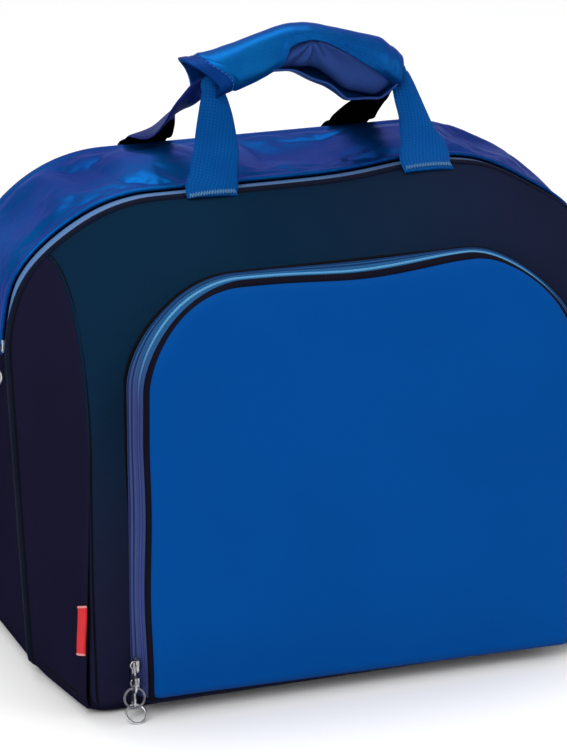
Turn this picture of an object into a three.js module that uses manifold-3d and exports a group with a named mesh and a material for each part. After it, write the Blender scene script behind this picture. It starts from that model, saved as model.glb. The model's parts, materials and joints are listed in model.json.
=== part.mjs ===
// A soft-sided ball bag: an arched body with a bulging front, a zipped front pocket whose panel
// folds down, a padded top gusset with the main zip, and two webbing handles in one padded grip wrap.
// Millimetres, +Z up. The front faces -Y, and the origin is the centre of the base on the floor.
import * as THREE from "three";
import { mergeVertices } from "three/addons/utils/BufferGeometryUtils.js";
import Module from "manifold-3d";

const wasm = await Module();
wasm.setup();

// ---- driving dimensions ----
const GAP = 0.3; // clearance between touching pieces
const WALL = 3.5; // padded fabric wall
const EDGE_Z = 8; // height of the bottom seam above the floor

const FRONT_Y = -30; // plane of the front arch seam
const BACK_Y = 98.6; // plane of the back arch seam
const ARCH = { foot: 210, half: 221, top: 348, rx: 106, rz: 106 };

const BELLY_DEPTH = 85; // how far the front stands before its arch
const BELLY = { foot: 199, half: 193, top: 248, rx: 60, rz: 60 };
const BACK_DEPTH = 20;
const BACK = { foot: 190, half: 185, top: 312, rx: 80, rz: 80 };

const ZIP_END_Z = 238; // the main zip ends here on both sides
const PIPING_R = 2;
const COIL_Y = -13.5; // centre line of the main zip's coil
const COIL_HALF = 2.2;
const TAPE_EDGE_Y = -2.3;

const POCKET = { foot: 166, half: 166, top: 308, rx: 80, rz: 70 };
const POCKET_Z = 16; // bottom edge of the pocket
const POCKET_DEPTH = 19;
const POCKET_FLARE = 0.5; // how far the pocket's upright sides lean in for each millimetre forward
const PANEL_THICK = 4.5;
const PANEL_INSET = { side: 11.8, top: 4.8 };
const POCKET_TAPE = 2.3; // depth at which the pocket's zip tape starts
const POCKET_COIL = 8.25; // depth of the middle of the pocket's zip

const STRAP_W = 38;
const STRAP_T = 2.4;
const STRAP_X = 79.5; // handle ends, left and right of the middle
const STRAP_HEAD = 16; // a strap's width where it is gathered into the grip
const STRAP_HELD = 18; // height of the folded straps inside the grip
const GRIP_X = 4;
const GRIP_Y = 10;
const GRIP_Z = 431; // axis of the grip at its middle
const GRIP_HALF = 72;
const GRIP_DROP = 20; // how much lower the grip's ends are
const GRIP_BEND = 0.35; // roundness of the grip's ridge
const GRIP_R = 18;
const FLAP_SAG = 11; // how far the slack flap hangs below the grip's round

const SLIDER_STEP = 13;
const TAB_EYE = 16.5; // from the pull tab's hinge to its ring
const RING_R = 7.1;
const WIRE_R = 0.9;

const BALL_R = 109;

// ---- colours ----
const finish = (color, roughness, metalness = 0) =>
  new THREE.MeshStandardMaterial({ color, roughness, metalness });
const NAVY = 0x1b1a2b;
const BLUE = 0x004a97;
const WEBBING = 0x005ab4;
const TAPE = 0x4b5596;
const PALE = 0x8296c8;
const STEEL = 0xb8bcc4;

const bag = new THREE.Group();

// ---- helpers ----
function place(name, geometry, material, parent = bag) {
  const mesh = new THREE.Mesh(geometry, material);
  mesh.name = name;
  parent.add(mesh);
  return mesh;
}

const lerp = THREE.MathUtils.lerp;

// Skins a row of equal loops into one closed body that faces out, with a flat cap on both ends.
function loft(rings) {
  const n = rings[0].length;
  const flat = rings.flat();
  const index = [];
  for (let k = 0; k + 1 < rings.length; k++) {
    for (let i = 0; i < n; i++) {
      const a = k * n + i;
      const b = k * n + ((i + 1) % n);
      index.push(a, b, b + n, a, b + n, a + n);
    }
  }
  const last = (rings.length - 1) * n;
  for (const [i, j, k] of capFaces(rings[0])) {
    index.push(k, j, i);
    index.push(last + i, last + j, last + k);
  }
  if (volume(flat, index) < 0) index.reverse();
  const geometry = new THREE.BufferGeometry().setFromPoints(flat);
  geometry.setIndex(index);
  geometry.computeVertexNormals();
  return geometry;
}

// Triangles of a flat loop, turned the way the loop itself turns.
function capFaces(ring) {
  const normal = new THREE.Vector3();
  ring.forEach((p, i) => {
    const q = ring[(i + 1) % ring.length];
    normal.add(new THREE.Vector3().crossVectors(p, q));
  });
  normal.normalize();
  const u = new THREE.Vector3(0.31, 0.87, 0.39).cross(normal).normalize();
  const v = new THREE.Vector3().crossVectors(normal, u);
  const outline = ring.map((p) => new THREE.Vector2(p.dot(u), p.dot(v)));
  return THREE.ShapeUtils.triangulateShape(outline, []);
}

function volume(points, index) {
  let sum = 0;
  for (let i = 0; i < index.length; i += 3) {
    const [a, b, c] = [0, 1, 2].map((k) => points[index[i + k]]);
    sum += a.dot(new THREE.Vector3().crossVectors(b, c)) / 6;
  }
  return sum;
}

function toSolid(geometry) {
  const bare = geometry.clone();
  bare.deleteAttribute("normal");
  bare.deleteAttribute("uv");
  const merged = mergeVertices(bare, 1e-4);
  return new wasm.Manifold(
    new wasm.Mesh({
      numProp: 3,
      vertProperties: merged.attributes.position.array,
      triVerts: new Uint32Array(merged.index.array),
    }),
  );
}

function toGeometry(solid) {
  const mesh = solid.getMesh();
  const geometry = new THREE.BufferGeometry();
  const positions = new Float32Array(mesh.vertProperties);
  geometry.setAttribute("position", new THREE.BufferAttribute(positions, 3));
  geometry.setIndex(new THREE.BufferAttribute(new Uint32Array(mesh.triVerts), 1));
  geometry.computeVertexNormals();
  return geometry;
}

function box(x0, x1, y0, y1, z0, z1) {
  const geometry = new THREE.BoxGeometry(x1 - x0, y1 - y0, z1 - z0);
  return geometry.translate((x0 + x1) / 2, (y0 + y1) / 2, (z0 + z1) / 2);
}

// Half width of an arch at a height on its straight side.
function sideHalf(form, z) {
  return lerp(form.foot, form.half, (z - EDGE_Z) / (form.top - form.rz - EDGE_Z));
}

// An arch from its left foot over the top to its right foot, as (x, z) points.
function arch(form, footZ = EDGE_Z, steps = 10) {
  const right = [new THREE.Vector2(sideHalf(form, footZ), footZ)];
  for (let i = 0; i <= steps; i++) {
    const a = (Math.PI / 2) * (i / steps);
    const x = form.half - form.rx + form.rx * Math.cos(a);
    right.push(new THREE.Vector2(x, form.top - form.rz + form.rz * Math.sin(a)));
  }
  const left = right.map((p) => new THREE.Vector2(-p.x, p.y));
  return [...left, ...right.reverse()];
}

function shrink(form, inset, topInset = inset) {
  const { foot, half, top, rx, rz } = form;
  const less = { foot: foot - inset, half: half - inset, top: top - topInset };
  return { ...less, rx: rx - inset, rz: rz - topInset };
}

function blendForms(a, b, side, top) {
  const mix = (key, t) => lerp(a[key], b[key], t);
  const edge = { foot: mix("foot", side), half: mix("half", side), top: mix("top", top) };
  return { ...edge, rx: mix("rx", side), rz: mix("rz", side) };
}

// Carries a section along an arch: its first coordinate runs along Y, its second stands out.
// "flare" leans the section outward with Y, fully on an upright side and not at all on top.
function alongArch(path, section, yOf = () => 0, flare = 0) {
  const rings = path.map((p, i) => {
    const before = path[Math.max(i - 1, 0)];
    const after = path[Math.min(i + 1, path.length - 1)];
    const run = after.clone().sub(before).normalize();
    return section.map(([y, out]) => {
      const stand = out + flare * y * Math.abs(run.y);
      const x = p.x - run.y * stand;
      const z = p.y + run.x * stand;
      return new THREE.Vector3(x, yOf(z) + y, z);
    });
  });
  return loft(rings);
}

function band(y0, y1, inside, outside) {
  return [
    [y0, inside],
    [y1, inside],
    [y1, outside],
    [y0, outside],
  ];
}

function round(y, out, radius, sides = 8) {
  return Array.from({ length: sides }, (_, i) => {
    const a = (2 * Math.PI * i) / sides;
    return [y + radius * Math.cos(a), out + radius * Math.sin(a)];
  });
}

// Carries a section along a route: its first coordinate runs along "across".
// "spread" widens or narrows it there, given how far along the route it is, from 0 to 1.
function alongRoute(points, section, across, spread = () => 1) {
  const rings = points.map((p, i) => {
    const before = points[Math.max(i - 1, 0)];
    const after = points[Math.min(i + 1, points.length - 1)];
    const run = after.clone().sub(before).normalize();
    const u = across.clone().addScaledVector(run, -across.dot(run)).normalize();
    const v = new THREE.Vector3().crossVectors(run, u);
    const wide = spread(i / (points.length - 1));
    return section.map(([a, b]) => p.clone().addScaledVector(u, a * wide).addScaledVector(v, b));
  });
  return loft(rings);
}

// ---- body ----
// A bulging end of the bag: from the arch at y0 it closes onto a flat face, depth away from it.
function dish(face, y0, depth, inset, footZ) {
  const steps = 9;
  const rings = [];
  for (let i = 0; i <= steps; i++) {
    const a = (Math.PI / 2) * (i / steps);
    const side = Math.sin(a);
    const form = shrink(blendForms(ARCH, face, side, 1 - Math.cos(a)), inset);
    const y = y0 + (depth - Math.sign(depth) * inset) * side;
    if (i === 0 && inset > 0) rings.push(ringAt(form, footZ, y0 - Math.sign(depth)));
    rings.push(ringAt(form, footZ, y));
  }
  return toSolid(loft(rings));
}

function ringAt(form, footZ, y) {
  return arch(form, footZ).map((p) => new THREE.Vector3(p.x, y, p.y));
}

function dishShell(face, y0, depth) {
  const inner = dish(face, y0, depth, WALL, EDGE_Z - 2 * WALL);
  return dish(face, y0, depth, 0, EDGE_Z).subtract(inner);
}

const REACH = 500;

function makeFront() {
  const shell = dishShell(BELLY, FRONT_Y, -BELLY_DEPTH);
  const seam = BELLY.half;
  const middle = toSolid(box(-seam + GAP, seam - GAP, -REACH, REACH, -REACH, REACH));
  place("front_panel", toGeometry(shell.intersect(middle)), finish(NAVY, 0.7));
  const left = toSolid(box(-REACH, -seam, -REACH, REACH, -REACH, REACH));
  place("front_side_left", toGeometry(shell.intersect(left)), finish(NAVY, 0.7));
  const right = toSolid(box(seam, REACH, -REACH, REACH, -REACH, REACH));
  place("front_side_right", toGeometry(shell.intersect(right)), finish(NAVY, 0.7));
}

function makeBack() {
  place("back_panel", toGeometry(dishShell(BACK, BACK_Y, BACK_DEPTH)), finish(NAVY, 0.7));
}

function makeGusset() {
  const behindFront = FRONT_Y + 2 * (PIPING_R + GAP);
  const beforeBack = BACK_Y - 2 * (PIPING_R + GAP);
  const whole = arch(ARCH);
  const upper = arch(ARCH, ZIP_END_Z);
  const frontSeam = FRONT_Y + PIPING_R + GAP;
  const backSeam = BACK_Y - PIPING_R - GAP;
  place("front_piping", alongArch(whole, round(frontSeam, 0, PIPING_R)), finish(NAVY, 0.5));
  place("back_piping", alongArch(whole, round(backSeam, 0, PIPING_R)), finish(NAVY, 0.5));

  const coil = [COIL_Y - COIL_HALF, COIL_Y + COIL_HALF];
  const frontTape = band(behindFront, coil[0] - GAP, -1.5, 0);
  const rearTape = band(coil[1] + GAP, TAPE_EDGE_Y, -1.5, 0);
  place("main_zip_tape_front", alongArch(upper, frontTape), finish(PALE, 0.4));
  place("main_zip_tape_rear", alongArch(upper, rearTape), finish(TAPE, 0.6));
  place("main_zip_coil", alongArch(upper, band(...coil, -1.5, 1)), finish(TAPE, 0.5));
  const padded = band(TAPE_EDGE_Y + GAP, beforeBack, -WALL, 0);
  place("top_gusset", alongArch(upper, padded), finish(BLUE, 0.35));

  for (const [name, side] of [["left", -1], ["right", 1]]) {
    const foot = new THREE.Vector2(side * ARCH.foot, EDGE_Z);
    const head = new THREE.Vector2(side * sideHalf(ARCH, ZIP_END_Z), ZIP_END_Z - GAP);
    const path = side < 0 ? [foot, head] : [head, foot];
    const wall = alongArch(path, band(behindFront, beforeBack, -WALL, 0));
    place("side_gusset_" + name, wall, finish(NAVY, 0.7));
  }
}

// The base's outline at a height, moved in from the walls by an inset.
function footprint(z, inset) {
  const frontY = FRONT_Y - BELLY_DEPTH + inset;
  const backY = BACK_Y + BACK_DEPTH - inset;
  const half = [
    [BELLY.foot - inset, frontY],
    [ARCH.foot - inset, FRONT_Y],
    [ARCH.foot - inset, BACK_Y],
    [BACK.foot - inset, backY],
  ];
  const other = half.map(([x, y]) => [-x, y]).reverse();
  return [...half, ...other].map(([x, y]) => new THREE.Vector3(x, y, z));
}

function makeBase() {
  const seam = EDGE_Z - GAP;
  const sag = loft([footprint(0, 14), footprint(seam, 0.5)]);
  place("base_panel", sag, finish(NAVY, 0.75));
  const boardTop = EDGE_Z + 3;
  const board = loft([footprint(EDGE_Z, WALL + 3), footprint(boardTop, WALL + 3)]);
  place("base_board", board, finish(0x2a2a2c, 0.8));
  makeCradle(boardTop + GAP);
}

// A foam cup under the ball.
function makeCradle(z0) {
  const rim = 75;
  const height = 24;
  const centreZ = z0 + 2.7 + BALL_R;
  const profile = [new THREE.Vector2(0, z0), new THREE.Vector2(rim, z0)];
  profile.push(new THREE.Vector2(rim, z0 + height));
  const wide = Math.acos((centreZ - z0 - height) / BALL_R);
  for (let i = 6; i >= 0; i--) {
    const a = (wide * i) / 6;
    const r = BALL_R * Math.sin(a);
    profile.push(new THREE.Vector2(r, centreZ - BALL_R * Math.cos(a)));
  }
  const cup = new THREE.LatheGeometry(profile, 24).rotateX(Math.PI / 2);
  place("ball_cradle", toGeometry(toSolid(cup)), finish(0x3a3c42, 0.95));
}

// A folded cloth tab sewn into the front seam of the left side.
function makeLabel() {
  const [z0, z1] = [54, 92];
  const wide = 20;
  const corners = (z, stand) => {
    const front = new THREE.Vector3(-sideHalf(BELLY, z), FRONT_Y - BELLY_DEPTH, z);
    const rear = new THREE.Vector3(-sideHalf(ARCH, z), FRONT_Y, z);
    const run = rear.sub(front).normalize();
    const out = new THREE.Vector3(-run.y, run.x, 0);
    const at = (along, off) => front.clone().addScaledVector(run, along).addScaledVector(out, off);
    return [at(1, stand), at(1 + wide, stand), at(1 + wide, stand + 1), at(1, stand + 1)];
  };
  place("side_label", loft([corners(z0, 1), corners(z1, 1)]), finish(0xcd1928, 0.6));
}

// ---- pocket ----
// Y of the belly's face at a height.
function faceY(z) {
  const rise = THREE.MathUtils.clamp((z - BELLY.top) / (ARCH.top - BELLY.top), 0, 1);
  return FRONT_Y - BELLY_DEPTH * Math.sqrt(1 - rise * rise);
}

// An arch filled with a curved sheet between two depths before the belly's face.
function archSheet(form, footZ, nearDepth, farDepth) {
  const right = arch(form, footZ).filter((p) => p.x > 0).reverse();
  const straight = right[1].y - footZ;
  const rows = [right[0]];
  for (let i = 1; i <= 4; i++) rows.push(new THREE.Vector2(form.half, footZ + (straight * i) / 5));
  rows.push(...right.slice(1));
  const rings = rows.map(({ x, y: z }) => {
    const near = faceY(z) - nearDepth;
    const far = faceY(z) - farDepth;
    const corners = [[-x, near], [x, near], [x, far], [-x, far]];
    return corners.map(([px, py]) => new THREE.Vector3(px, py, z));
  });
  return loft(rings);
}

function makePocket() {
  const path = arch(POCKET, POCKET_Z, 12);
  const layer = (d0, d1, inside, outside) => {
    return alongArch(path, band(-d1, -d0, inside, outside), faceY, POCKET_FLARE);
  };
  const tapeEnd = 2 * POCKET_COIL - POCKET_TAPE;
  const teeth = 1.8;
  const coilIn = POCKET_COIL - teeth;
  const coilOut = POCKET_COIL + teeth;
  const half = GAP / 2;
  place("pocket_gusset", layer(0.5, POCKET_TAPE - GAP, -3, 0), finish(NAVY, 0.7));
  place("pocket_zip_tape_rear", layer(POCKET_TAPE, coilIn - GAP, -2, -0.5), finish(TAPE, 0.6));
  place("pocket_zip_coil_rear", layer(coilIn, POCKET_COIL - half, -2, 1), finish(TAPE, 0.5));
  place("pocket_zip_coil_front", layer(POCKET_COIL + half, coilOut, -2, 1), finish(TAPE, 0.5));
  place("pocket_zip_tape_front", layer(coilOut + GAP, tapeEnd, -2, -0.5), finish(TAPE, 0.6));

  const pipeR = 2.3;
  const pipeDepth = tapeEnd + GAP + pipeR;
  const pipe = alongArch(path, round(-pipeDepth, 0, pipeR), faceY, POCKET_FLARE);
  place("pocket_piping", pipe, finish(NAVY, 0.5));
  const near = POCKET_DEPTH - PANEL_THICK;
  const form = shrink(POCKET, PANEL_INSET.side, PANEL_INSET.top);
  const panel = archSheet(form, POCKET_Z, near, POCKET_DEPTH);
  place("pocket_panel", panel, finish(BLUE, 0.6));

  // The strip under the pocket, from the bag's bottom seam out to the panel.
  const wide = POCKET.half - 8;
  const rootY = FRONT_Y - BELLY_DEPTH - 0.5;
  const lipY = FRONT_Y - BELLY_DEPTH - near + 1.5;
  const strip = (x) => {
    const points = [[rootY, EDGE_Z], [lipY, POCKET_Z - 5], [lipY, POCKET_Z - 2], [rootY, EDGE_Z + 3]];
    return points.map(([y, z]) => new THREE.Vector3(x, y, z));
  };
  place("pocket_bottom", loft([strip(-wide), strip(wide)]), finish(NAVY, 0.7));
}

// ---- zip sliders, pull tabs and split rings ----
// In a slider's own frame Z runs along the zip and X stands away from it.
const SLIDER_T = 2.4;
const BAR_X = 3.5;

function sliderBody() {
  const parts = [
    box(0, SLIDER_T, -4, 4, -5, 5),
    box(SLIDER_T - 0.1, 5.6, -0.8, 0.8, 1.9, 2.9),
    box(SLIDER_T - 0.1, 5.6, -0.8, 0.8, -2.9, -1.9),
    box(4.6, 5.6, -0.8, 0.8, -2.9, 2.9),
  ];
  return toGeometry(parts.map(toSolid).reduce((a, b) => a.add(b)));
}

function tabPlate() {
  const half = 3.8;
  const plate = new THREE.Shape();
  plate.moveTo(-half, 0.8);
  plate.lineTo(-half, -TAB_EYE);
  plate.absarc(0, -TAB_EYE, half, Math.PI, 2 * Math.PI, false);
  plate.lineTo(half, 0.8);
  const slot = [[-2.5, -0.7], [-2.5, -6.5], [2.5, -6.5], [2.5, -0.7]];
  plate.holes.push(new THREE.Path(slot.map(([x, y]) => new THREE.Vector2(x, y))));
  plate.holes.push(new THREE.Path().absarc(0, -TAB_EYE, 2.4, 0, 2 * Math.PI, true));
  const thick = 1.4;
  const settings = { depth: thick, bevelEnabled: false, curveSegments: 6 };
  const geometry = new THREE.ExtrudeGeometry(plate, settings).translate(0, 0, -thick / 2);
  return geometry.rotateX(Math.PI / 2).rotateZ(Math.PI / 2);
}

// twist turns the tab about the slider's outward axis, lift raises it off the zip,
// and lean swings the ring about its own wire, all in degrees.
function makeSlider(name, position, twist, lift, lean) {
  const slider = new THREE.Group();
  slider.position.copy(position);
  slider.rotation.z = Math.PI;
  bag.add(slider);
  place(name + "_slider", sliderBody(), finish(STEEL, 0.35, 0.9), slider);

  const tab = new THREE.Group();
  tab.position.x = BAR_X;
  tab.rotation.set(THREE.MathUtils.degToRad(twist), THREE.MathUtils.degToRad(-lift), 0);
  slider.add(tab);
  place(name + "_pull_tab", tabPlate(), finish(STEEL, 0.35, 0.9), tab);

  const ring = new THREE.Group();
  ring.position.z = -TAB_EYE;
  ring.rotation.x = THREE.MathUtils.degToRad(lean);
  tab.add(ring);
  const wire = new THREE.TorusGeometry(RING_R, WIRE_R, 8, 20).rotateX(Math.PI / 2);
  wire.translate(0, 0, -RING_R);
  place(name + "_split_ring", wire, finish(STEEL, 0.3, 0.95), ring);
}

function makeSliders() {
  const pocketX = -POCKET.half + 2;
  const pocketY = FRONT_Y - BELLY_DEPTH - POCKET_COIL;
  const lowest = 27;
  makeSlider("pocket_lower", new THREE.Vector3(pocketX, pocketY, lowest), 0, 0, 47);
  const next = lowest + SLIDER_STEP;
  makeSlider("pocket_upper", new THREE.Vector3(pocketX, pocketY, next), 42, 8, -34);
  const shoulderZ = ARCH.top - ARCH.rz;
  makeSlider("main", new THREE.Vector3(-ARCH.half - 1.4, COIL_Y, shoulderZ + 3), 0, 14, 0);
}

// ---- handles ----
const smooth = (points, count) => new THREE.CatmullRomCurve3(points).getPoints(count);

// The grip bends over like a low tent with a rounded ridge.
function gripAxisZ(x) {
  const fall = (u) => Math.hypot(u, GRIP_BEND) - GRIP_BEND;
  return GRIP_Z - (GRIP_DROP * fall((x - GRIP_X) / GRIP_HALF)) / fall(1);
}

// Points along the grip, from and to being measured along X from its middle.
function gripRoute(from, to, y, count) {
  return Array.from({ length: count + 1 }, (_, i) => {
    const x = GRIP_X + lerp(from, to, i / count);
    return new THREE.Vector3(x, y, gripAxisZ(x));
  });
}

// Height of a bulging end's skin, in the middle, this far from its arch.
function skinTop(face, depth, away) {
  return lerp(face.top, ARCH.top, Math.sqrt(1 - (away / depth) ** 2));
}

// A strap keeps its full width off the bag, then narrows to its gathered head.
function strapSpread(t) {
  const narrowing = THREE.MathUtils.clamp((t - 0.45) / 0.55, 0, 1);
  return lerp(1, STRAP_HEAD / STRAP_W, narrowing);
}

function makeHandles() {
  const strap = band(-STRAP_W / 2, STRAP_W / 2, -STRAP_T / 2, STRAP_T / 2);
  const clear = STRAP_T / 2 + GAP + PIPING_R;
  const headInset = STRAP_HEAD / 2 + 1;
  const legTop = gripAxisZ(GRIP_X + GRIP_HALF) - (STRAP_HELD + STRAP_T) / 2;
  const across = new THREE.Vector3(1, 0, 0);
  for (const [name, side] of [["left", -1], ["right", 1]]) {
    const foot = side * STRAP_X;
    const head = GRIP_X + side * (GRIP_HALF - headInset);
    const at = (t, y, z) => new THREE.Vector3(lerp(foot, head, t), y, z);
    const front = [
      at(0, FRONT_Y - 17, skinTop(BELLY, BELLY_DEPTH, 17) + clear),
      at(0, FRONT_Y - 9, skinTop(BELLY, BELLY_DEPTH, 9) + clear),
      at(0, FRONT_Y + 1, ARCH.top + clear + 2),
      at(0.1, FRONT_Y + 8, ARCH.top + 14),
      at(0.45, FRONT_Y + 25, lerp(ARCH.top, legTop, 0.6)),
      at(1, GRIP_Y - 4, legTop),
    ];
    const frontLeg = alongRoute(smooth(front, 14), strap, across, strapSpread);
    place("front_strap_" + name, frontLeg, finish(WEBBING, 0.7));
    const rear = [
      at(0, BACK_Y + 12, skinTop(BACK, BACK_DEPTH, 12) + clear),
      at(0, BACK_Y + 5, skinTop(BACK, BACK_DEPTH, 5) + clear),
      at(0, BACK_Y - 4, ARCH.top + clear + 2),
      at(0.1, BACK_Y - 14, ARCH.top + 14),
      at(0.45, BACK_Y - 48, lerp(ARCH.top, legTop, 0.6)),
      at(1, GRIP_Y + 5.5, legTop),
    ];
    const rearLeg = alongRoute(smooth(rear, 14), strap, across, strapSpread);
    place("rear_strap_" + name, rearLeg, finish(WEBBING, 0.7));
  }

  const up = new THREE.Vector3(0, 0, 1);
  const held = band(-STRAP_HELD / 2, STRAP_HELD / 2, -STRAP_T / 2, STRAP_T / 2);
  const heldHalf = GRIP_HALF - 3;
  for (const [name, y] of [["front", GRIP_Y - 4], ["rear", GRIP_Y + 4]]) {
    const top = alongRoute(gripRoute(-heldHalf, heldHalf, y, 8), held, up);
    place(name + "_strap_top", top, finish(WEBBING, 0.7));
  }
}

// A curved plate's section about the grip's axis, from one angle to another, in degrees from -Y.
function arcSection(radiusAt, thick, start, end, steps) {
  const at = (inset, i) => {
    const a = THREE.MathUtils.degToRad(lerp(start, end, i / steps));
    const r = radiusAt(i / steps) - inset;
    return [-r * Math.cos(a), r * Math.sin(a)];
  };
  const indices = Array.from({ length: steps + 1 }, (_, i) => i);
  const outer = indices.map((i) => at(0, i));
  const inner = indices.map((i) => at(thick, i)).reverse();
  return [...outer, ...inner];
}

// The wrap is open underneath, where its slack flap hangs from the rear edge.
function makeGrip() {
  const across = new THREE.Vector3(0, 1, 0);
  const shell = arcSection(() => GRIP_R, 3, -30, 210, 12);
  const wrap = alongRoute(gripRoute(-GRIP_HALF, GRIP_HALF, GRIP_Y, 12), shell, across);
  place("grip_wrap", wrap, finish(BLUE, 0.3));
  const sag = (t) => GRIP_R + FLAP_SAG * Math.sin((Math.PI / 2) * t);
  const flapShell = arcSection(sag, 2.5, 218, 300, 7);
  const flap = alongRoute(gripRoute(-19, 46, GRIP_Y, 8), flapShell, across);
  place("grip_flap", flap, finish(BLUE, 0.3));
}

makeFront();
makeBack();
makeGusset();
makeBase();
makeLabel();
makePocket();
makeSliders();
makeHandles();
makeGrip();

export default bag;
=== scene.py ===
"""A soft arched ball bag in navy and royal blue cloth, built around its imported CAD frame."""

import json
import math

import bmesh
import bpy
import numpy as np
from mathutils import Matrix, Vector
from mathutils.geometry import tessellate_polygon


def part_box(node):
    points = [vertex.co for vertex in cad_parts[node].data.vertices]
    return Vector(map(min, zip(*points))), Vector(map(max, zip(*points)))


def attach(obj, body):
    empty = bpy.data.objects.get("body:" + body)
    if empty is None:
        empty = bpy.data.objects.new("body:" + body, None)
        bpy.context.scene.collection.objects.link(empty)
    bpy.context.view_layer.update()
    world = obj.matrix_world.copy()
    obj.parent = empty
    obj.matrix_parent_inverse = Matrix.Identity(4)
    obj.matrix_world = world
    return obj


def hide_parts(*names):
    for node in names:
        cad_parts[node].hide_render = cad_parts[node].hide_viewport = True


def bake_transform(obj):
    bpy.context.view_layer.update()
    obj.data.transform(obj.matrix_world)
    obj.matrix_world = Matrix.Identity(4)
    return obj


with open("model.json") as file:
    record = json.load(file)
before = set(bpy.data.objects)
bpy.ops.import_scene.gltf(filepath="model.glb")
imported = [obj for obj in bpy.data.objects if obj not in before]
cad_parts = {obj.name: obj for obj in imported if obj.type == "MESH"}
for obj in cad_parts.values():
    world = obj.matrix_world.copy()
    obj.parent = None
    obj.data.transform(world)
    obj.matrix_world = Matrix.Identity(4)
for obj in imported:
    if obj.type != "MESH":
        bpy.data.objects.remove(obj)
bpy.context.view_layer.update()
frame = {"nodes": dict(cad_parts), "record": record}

MM = 0.001
X, Y, Z = 0, 1, 2


# ---- sizes, read from the frame ----
def side(node, axis, high):
    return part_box(node)[1 if high else 0][axis]


def middle(node, axis):
    return (side(node, axis, 0) + side(node, axis, 1)) / 2


EDGE_Z = side("front_panel", Z, 0)
FRONT_Y = side("front_panel", Y, 1)
FACE_Y = side("front_panel", Y, 0)
BELLY_DEPTH = FRONT_Y - FACE_Y
BACK_Y = side("back_panel", Y, 0)
BACK_DEPTH = side("back_panel", Y, 1) - BACK_Y
ZIP_END_Z = side("top_gusset", Z, 0)
TOP_Z = side("top_gusset", Z, 1)
HALF = side("top_gusset", X, 1)
SEAM_X = -side("front_side_left", X, 1)
GUSSET_Y1 = side("top_gusset", Y, 1)
PIPING_R = (side("front_piping", Y, 1) - side("front_piping", Y, 0)) / 2
PIPING_Y = middle("front_piping", Y)
BACK_PIPING_Y = middle("back_piping", Y)
POCKET_HALF = side("pocket_gusset", X, 1)
POCKET_TOP = side("pocket_gusset", Z, 1)
POCKET_Z = side("pocket_panel", Z, 0)

# Arch outlines, as in the CAD: half width at the foot and at the shoulders, height, and the corners' radii.
ARCH = dict(foot=HALF - 11 * MM, half=HALF, top=TOP_Z, rx=106 * MM, rz=106 * MM)
BELLY = dict(foot=SEAM_X + 6 * MM, half=SEAM_X, top=TOP_Z - 100 * MM, rx=60 * MM, rz=60 * MM)
BACK = dict(foot=HALF - 31 * MM, half=HALF - 36 * MM, top=TOP_Z - 36 * MM, rx=80 * MM, rz=80 * MM)
POCKET = dict(foot=POCKET_HALF, half=POCKET_HALF, top=POCKET_TOP, rx=80 * MM, rz=70 * MM)
POCKET_FLARE = 0.5  # how far the pocket's upright sides lean out for each metre towards the bag
SKIRT = 3.6 * MM  # extra width of the pocket's rear tape on its upright sides
STRAP_X = 79.5 * MM  # the handles' feet, left and right of the middle
CLOTH = 2.5 * MM  # thickness of a padded wall
JOINTS = {joint["name"]: joint for joint in frame["record"]["behaviour"]["joints"]}


# ---- mesh helpers ----
def lerp(a, b, t):
    return a + (b - a) * t


def smoothstep(t):
    t = np.clip(t, 0, 1)
    return t * t * (3 - 2 * t)


def rise(value, start, over):
    """0 up to start, and from there smoothly up to 1 over this much more."""
    return smoothstep((value - start) / over)


def fall(value, end, over):
    """0 from end on, and 1 before that, changing smoothly over this much."""
    return smoothstep((end - value) / over)


def hump(value, centre, width):
    return np.exp(-(((value - centre) / width) ** 2))


def unit(v):
    return v / np.linalg.norm(v, axis=-1, keepdims=True)


def square_to(v, run):
    """The part of v that is square to a unit vector, made a unit vector."""
    return unit(v - run * (v * run).sum(-1, keepdims=True))


def travelled(line):
    """How far along a line each of its points is."""
    return np.concatenate([[0], np.cumsum(np.linalg.norm(np.diff(line, axis=0), axis=1))])


def ripple(points, size, seed, waves=7):
    """A smooth, seeded random field with features of about this size, between about -1 and 1."""
    rng = np.random.default_rng(seed)
    k = rng.normal(size=(waves, 3))
    k *= (2 * math.pi / size) * rng.uniform(0.6, 1.3, (waves, 1)) / np.linalg.norm(k, axis=1)[:, None]
    phase = rng.uniform(0, 2 * math.pi, waves)
    return np.sin(points @ k.T + phase).sum(-1) / math.sqrt(waves)


def grid_normals(p):
    du = np.gradient(p, axis=0)
    dv = np.gradient(p, axis=1)
    n = np.cross(du, dv)
    return n / np.maximum(np.linalg.norm(n, axis=2, keepdims=True), 1e-12)


def arc_uv(p):
    """Texture places in metres along the two ways of a grid."""
    du = np.linalg.norm(np.diff(p, axis=0), axis=2)
    dv = np.linalg.norm(np.diff(p, axis=1), axis=2)
    u = np.zeros(p.shape[:2])
    v = np.zeros(p.shape[:2])
    u[1:] = np.cumsum(du, axis=0)
    v[:, 1:] = np.cumsum(dv, axis=1)
    return np.stack([u, v], 2)


def grid_faces(rows, columns, ring=False, loop=False):
    """Quads between a grid's points. ring joins its last column to its first one, and loop its last row."""
    i, j = np.meshgrid(np.arange(rows - (not loop)), np.arange(columns - (not ring)), indexing="ij")
    here, ahead, beside = i * columns, (i + 1) % rows * columns, (j + 1) % columns
    return np.stack([here + j, ahead + j, ahead + beside, here + beside], 2).reshape(-1, 4)


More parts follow.
